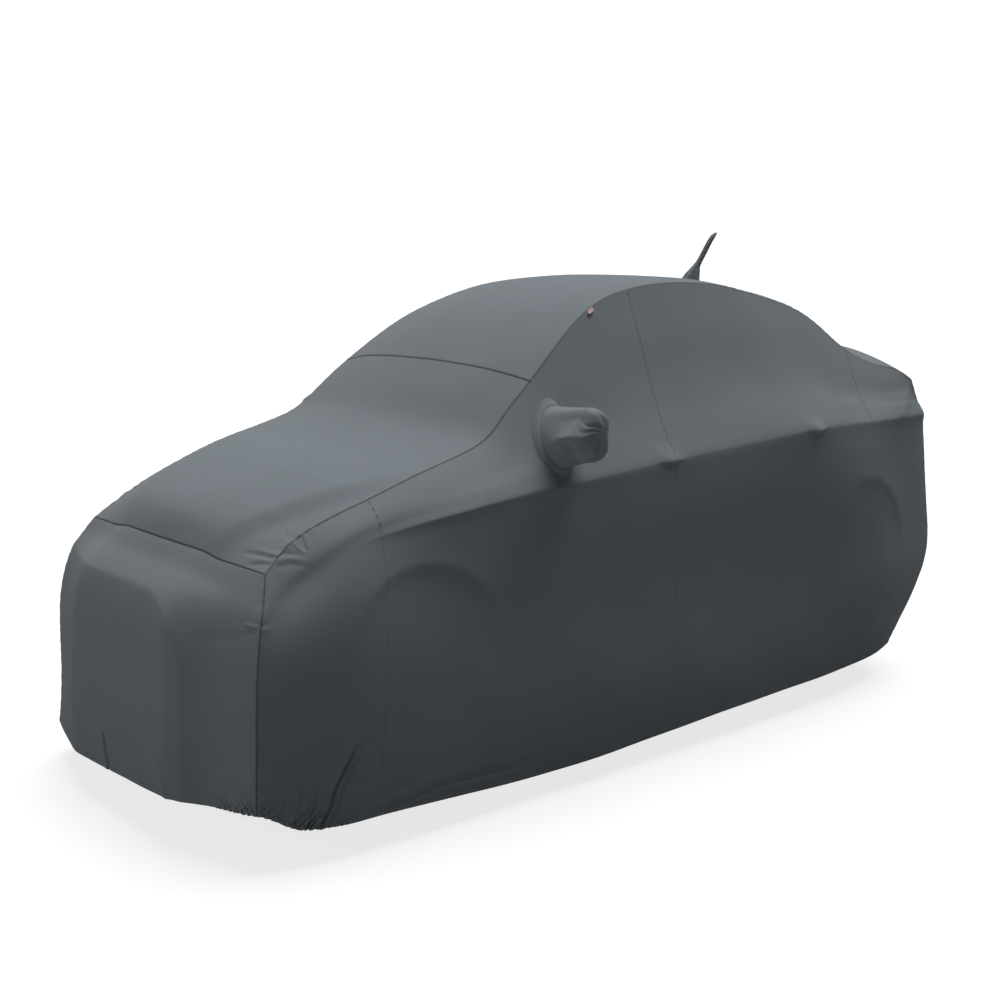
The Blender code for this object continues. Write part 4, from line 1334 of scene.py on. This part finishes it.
def patch_line(share, angle):
    """A closed line round the mirror patch at a share of its reach, rising towards the
    pocket's root."""
    station = PATCH_CENTRE[0] + share * PATCH_REACH[0] * np.cos(angle)
    level = PATCH_CENTRE[1] - share * PATCH_REACH[1] * np.sin(angle)
    own = np.arange(len(angle))
    line = side_surface(station, level)[own, own]
    line[:, 0] += PATCH_RISE * smooth(1 - share, 0.0, 1 - POCKET_ROOT)
    return line


def superellipse(angle, squareness):
    """Points of |a|^n + |b|^n = 1."""
    a, b = np.cos(angle), np.sin(angle)
    reach = (np.abs(a) ** squareness + np.abs(b) ** squareness) ** (-1 / squareness)
    return a * reach, b * reach


def patch_sheet():
    """The patch: rings from its sewn edge to the pocket's root, lying on the panel, its
    edge tucked down onto it and a double row of stitching pressed in."""
    root, inner, *edge = np.array(PATCH_LIFT)[:, 0]
    share = np.concatenate([edge[::-1], np.linspace(inner, root + 0.006, 15), [root]])
    rows = np.stack([patch_line(s, angles(150)) for s in share])
    depth, width = PATCH_DENT
    dents = depth * sum(bump(share, stitched, width) for stitched in PATCH_STITCHES)
    lift = np.interp(share, *np.transpose(PATCH_LIFT)) - dents
    rows = raised(rows, np.broadcast_to(lift[:, None], rows.shape[:2]))
    around = lengths(rows, 1)
    # painted shade along the pocket's root and the patch's sewn edge
    marks = np.minimum.reduce([np.abs(share - at) * PATCH_METRES + faint for at, faint in PATCH_SHADES])
    wall = np.broadcast_to([-CLOTH, 0.0, 0.0], rows.shape)
    return rows, wall, flat_map(around, lengths(rows, 0)), np.broadcast_to(marks[:, None], around.shape)


def pocket_sheet(rings, gathers):
    """A pocket over a mirror: rounded oblongs strung on a spline from the patch to the
    tip, with a crease across it and gathers that fan out from the tip in S-curves."""
    angle = angles(POCKET_COLUMNS)
    front, back = MIRROR_SQUARENESS
    along, up = superellipse(angle, front + (back - front) * smooth(np.cos(angle), *POCKET_BACK))
    leaning = along + POCKET_LEAN * np.abs(up)
    rows = [patch_line(POCKET_ROOT - SEAM_GAP / PATCH_REACH[0], angle)]
    for x, y, z, half_length, half_height in rings:
        rows.append(np.stack([np.full_like(along, x), y + leaning * half_length, z + up * half_height], -1))
    at = 1 - (1 - np.linspace(0, 1, POCKET_ROWS)) ** 1.25
    grid = spline(np.linspace(0, 1, len(rows)), np.stack(rows), at)
    middle = grid.mean(axis=1, keepdims=True)
    out = grid - middle
    out[..., 0] = 0
    reach = np.linalg.norm(out, axis=-1)
    out = unit(out)
    out[..., 0] += 1.5 * smooth(at, *POCKET_END)[:, None]
    out = unit(out)
    bent = angle + 0.30 * np.sin(7.0 * at)[:, None]
    starts, ends, eased = POCKET_FAN
    fan = smooth(at, *starts) * (1 - eased * smooth(at, *ends))
    pleats = gathered(POCKET_GATHERS * bent + 1.6 * np.sin(2 * bent)) * (0.7 + 0.3 * np.sin(3 * angle + 1))
    relief = gathers * fan[:, None] * pleats * np.minimum(1, reach / POCKET_SLIM)
    height = (grid[..., 2] - middle[..., 2]) / reach.max(axis=1, keepdims=True)
    depth, place, width, starts, ends = POCKET_CREASE
    relief += depth * cusp(height, place, width) * between(at, starts, ends)[:, None]
    grid = grid + relief[..., None] * out
    run = lengths(grid, 0)
    return grid, -POCKET_WALL * out, flat_map(lengths(grid, 1), run), run + POCKET_FAINT


class COVER_OT_mirror_pockets(bpy.types.Operator):
    """Oval patches and the pockets sewn to them"""

    bl_idname = "cover.mirror_pockets"
    bl_label = "Mirror pockets"

    def execute(self, context):
        for hand, side, rings, gathers, area in POCKETS:
            flip = np.array([hand, 1.0, 1.0])
            for kind, sheet, cut in (
                ("patch", patch_sheet(), (0.20, 0.26, 0.02)),
                ("pocket", pocket_sheet(rings, gathers), (0.34, 0.56, area)),
            ):
                grid, wall, uv, marks = (part[:, ::hand] for part in sheet)
                parts = shell(grid * flip, wall * flip, ring=True, tip=kind == "pocket")
                made = add_piece(f"{side}_mirror_{kind}_cloth", parts, cover_knit(), uv, marks)
                dress(made, [f"{side}_mirror_{kind}"])
            add_stitching(f"{side}_patch_stitching", [patch_ring(share, flip) for share in PATCH_STITCHES])
        return {"FINISHED"}


def patch_ring(share, flip):
    """A stitched ring on the patch."""
    line = raised(patch_line(share, angles(240)), PATCH_THREAD_LIFT) * flip
    return np.vstack([line, line[:1]])


def antenna_root(share, angle):
    """A closed line on the roof round the antenna."""
    y, _, half_width, half_length = ANTENNA_RINGS[0]
    x = share * half_width * np.cos(angle)
    middle = np.array(TOP_MIDDLE)
    station = np.interp(y + share * half_length * np.sin(angle), middle[:, 1], middle[:, 0])
    own = np.arange(len(angle))
    return top_surface(station, x / long_line(ROOF_SEAM, station)[:, 0])[own, own]


def antenna_sheet():
    """A skirt on the roof that draws in to a slim finger round the antenna, with pleats at
    its foot and wrinkles that wind round it."""
    angle = angles(ANTENNA_COLUMNS)
    rows = [antenna_root(share, angle) + np.array([0, 0, height]) for share, height in ANTENNA_EDGE]
    for y, z, half_width, half_length in ANTENNA_RINGS[1:]:
        x = half_width * np.cos(angle)
        rows.append(np.stack([x, y + half_length * np.sin(angle), np.full_like(angle, z)], -1))
    rows = np.stack(rows)
    knots = line_length(rows.mean(axis=1)) + np.arange(len(rows)) * ANTENNA_EVEN
    at = np.linspace(0, knots[-1], ANTENNA_ROWS)
    grid = spline(knots, rows, at)
    out = grid - grid.mean(axis=1, keepdims=True)
    out[..., 2] = 0
    out = unit(out)
    height = (at / at[-1])[:, None]
    depth, turns, winding = ANTENNA_WRINKLES
    wrinkle = depth * ripple(2 * np.pi * (height * turns + winding * np.sin(angle + 0.7)))
    wrinkle = wrinkle * smooth(height, 0.10, 0.2) * (1 - 0.8 * smooth(height, 0.35, 0.6))
    pleat, frill = (
        depth * np.sin(count * angle + shift) * bump(height, place, reach)
        for depth, count, shift, place, reach in (ANTENNA_PLEATS, ANTENNA_FRILL)
    )
    grid = grid + (wrinkle + pleat)[..., None] * out
    grid[..., 2] += frill
    out[-6:, :, 2] += np.linspace(0, 1.5, 6)[:, None]
    out[:3, :, 2] += 1.0
    run = lengths(grid, 0)
    return grid, -ANTENNA_WALL * unit(out), flat_map(lengths(grid, 1), run), run + ANTENNA_FAINT


class COVER_OT_antenna_pocket(bpy.types.Operator):
    """The slim pocket over the roof antenna"""

    bl_idname = "cover.antenna_pocket"
    bl_label = "Antenna pocket"

    def execute(self, context):
        grid, wall, uv, marks = antenna_sheet()
        parts = shell(grid, wall, ring=True, tip=True)
        made = add_piece("antenna_pocket_cloth", parts, cover_knit(), uv, marks)
        dress(made, ["antenna_pocket"])
        return {"FINISHED"}


class COVER_OT_seam_label(bpy.types.Operator):
    """The bare folded tab in the left roof seam"""

    bl_idname = "cover.seam_label"
    bl_label = "Seam label"

    def execute(self, context):
        s = np.linspace(-1, 1, 16)
        t = np.linspace(0, 1, 14)
        half = LABEL_LENGTH / METRES_PER_STATION / 2
        base = side_surface(LABEL_STATION + half * s, LABEL_WIDTH / METRES_PER_LEVEL * t + LABEL_LEVEL)
        start, rise, curl = LABEL_LIFT
        grid = raised(base, start + rise * t**1.6 + curl * t * s[:, None] ** 2)
        parts = shell(grid, LABEL_WALL * inward(base))
        uv = flat_map(lengths(grid, 0), lengths(grid, 1))
        made = add_piece("seam_label_tape", parts, label_material(), uv)
        dress(made, ["seam_label"])
        return {"FINISHED"}


# Stage


def turned(side, up, back, place):
    """The matrix that turns an object's X, Y and Z to three directions and places it."""
    return Matrix([[side[k], up[k], back[k], place[k]] for k in range(3)] + [[0, 0, 0, 1]])


def add_sun(name, toward, strength, spread):
    """A distant light as wide as a soft box, shining from the direction given."""
    lamp = bpy.data.lights.new(name, "SUN")
    lamp.energy = strength
    lamp.angle = spread
    made = bpy.data.objects.new(name, lamp)
    back = unit(np.array(toward))
    side = unit(np.cross((0, 1, 0), back))
    made.matrix_world = turned(side, np.cross(back, side), back, (0, 0, 4))
    bpy.context.scene.collection.objects.link(made)


def add_floor():
    """A large square at the height of the ground."""
    mesh = bpy.data.meshes.new("floor")
    corners = [(x * FLOOR_HALF, y * FLOOR_HALF, -HOLD_Z) for x, y in ((-1, -1), (1, -1), (1, 1), (-1, 1))]
    mesh.from_pydata(corners, [], [(0, 1, 2, 3)])
    mesh.materials.append(floor_material())
    floor = bpy.data.objects.new("floor", mesh)
    bpy.context.scene.collection.objects.link(floor)


def add_world(sky):
    """Light from all round, behind a backdrop that the camera sees as white."""
    world = bpy.data.worlds.new("studio")
    bpy.context.scene.world = world
    world.use_nodes = True
    tree = world.node_tree
    plain = tree.nodes["Background"].inputs
    plain["Color"].default_value = (1.0, 1.0, 1.0, 1.0)
    seen = node(tree, "ShaderNodeLightPath").outputs["Is Camera Ray"]
    tree.links.new(maths(tree, "MULTIPLY_ADD", seen, BACKGROUND - sky, sky), plain["Strength"])


def add_camera(focal_length):
    """A camera turned round from -Y and tilted down."""
    lens = bpy.data.cameras.new("camera")
    lens.sensor_width = 36.0
    lens.lens = focal_length
    lens.clip_end = 200.0
    camera = bpy.data.objects.new("camera", lens)
    turn, down = np.radians(CAMERA_TURN), np.radians(CAMERA_DOWN)
    back = np.array([np.sin(turn) * np.cos(down), -np.cos(turn) * np.cos(down), np.sin(down)])
    right = np.array([np.cos(turn), np.sin(turn), 0.0])
    camera.matrix_world = turned(right, np.cross(back, right), back, CAMERA_PLACE)
    bpy.context.scene.collection.objects.link(camera)
    bpy.context.scene.camera = camera


class COVER_OT_stage(bpy.types.Operator):
    """Pale floor, overhead soft light, front fill and the camera"""

    bl_idname = "cover.stage"
    bl_label = "Stage"

    def execute(self, context):
        stage = settings("stage")
        add_floor()
        add_sun("key", KEY_FROM, stage.key, stage.spread)
        add_sun("fill", FILL_FROM, stage.fill, stage.spread)
        add_world(stage.sky)
        add_camera(stage.lens)
        context.scene.view_settings.view_transform = "Standard"
        return {"FINISHED"}


class COVER_PT_panel(bpy.types.Panel):
    """Lists the cover's pieces and settings"""

    bl_idname = "COVER_PT_panel"
    bl_label = "Car cover"
    bl_space_type = "VIEW_3D"
    bl_region_type = "UI"
    bl_category = "Car cover"

    def draw(self, context):
        for group in GROUPS:
            box = self.layout.box()
            values = getattr(context.scene, group)
            for name in values.bl_rna.properties.keys():
                if name not in ("rna_type", "name"):
                    box.prop(values, name)
        for step in STEPS:
            self.layout.operator(step.bl_idname)


GROUPS = {
    "cover_cloth": ClothSettings,
    "cover_seams": SeamSettings,
    "cover_hem": HemSettings,
    "cover_stage": StageSettings,
}
STEPS = (
    COVER_OT_stage,
    COVER_OT_side_panels,
    COVER_OT_top_panels,
    COVER_OT_end_panels,
    COVER_OT_mirror_pockets,
    COVER_OT_antenna_pocket,
    COVER_OT_seam_label,
)


def register():
    for each in (*GROUPS.values(), *STEPS, COVER_PT_panel):
        bpy.utils.register_class(each)
    for name, kind in GROUPS.items():
        setattr(bpy.types.Scene, name, PointerProperty(type=kind))


def unregister():
    for name in GROUPS:
        delattr(bpy.types.Scene, name)
    for each in reversed((*GROUPS.values(), *STEPS, COVER_PT_panel)):
        bpy.utils.unregister_class(each)


def main():
    """Builds every piece in order."""
    register()
    for step in STEPS:
        group, name = step.bl_idname.split(".")
        getattr(getattr(bpy.ops, group), name)()


if __name__ == "__main__":
    main()
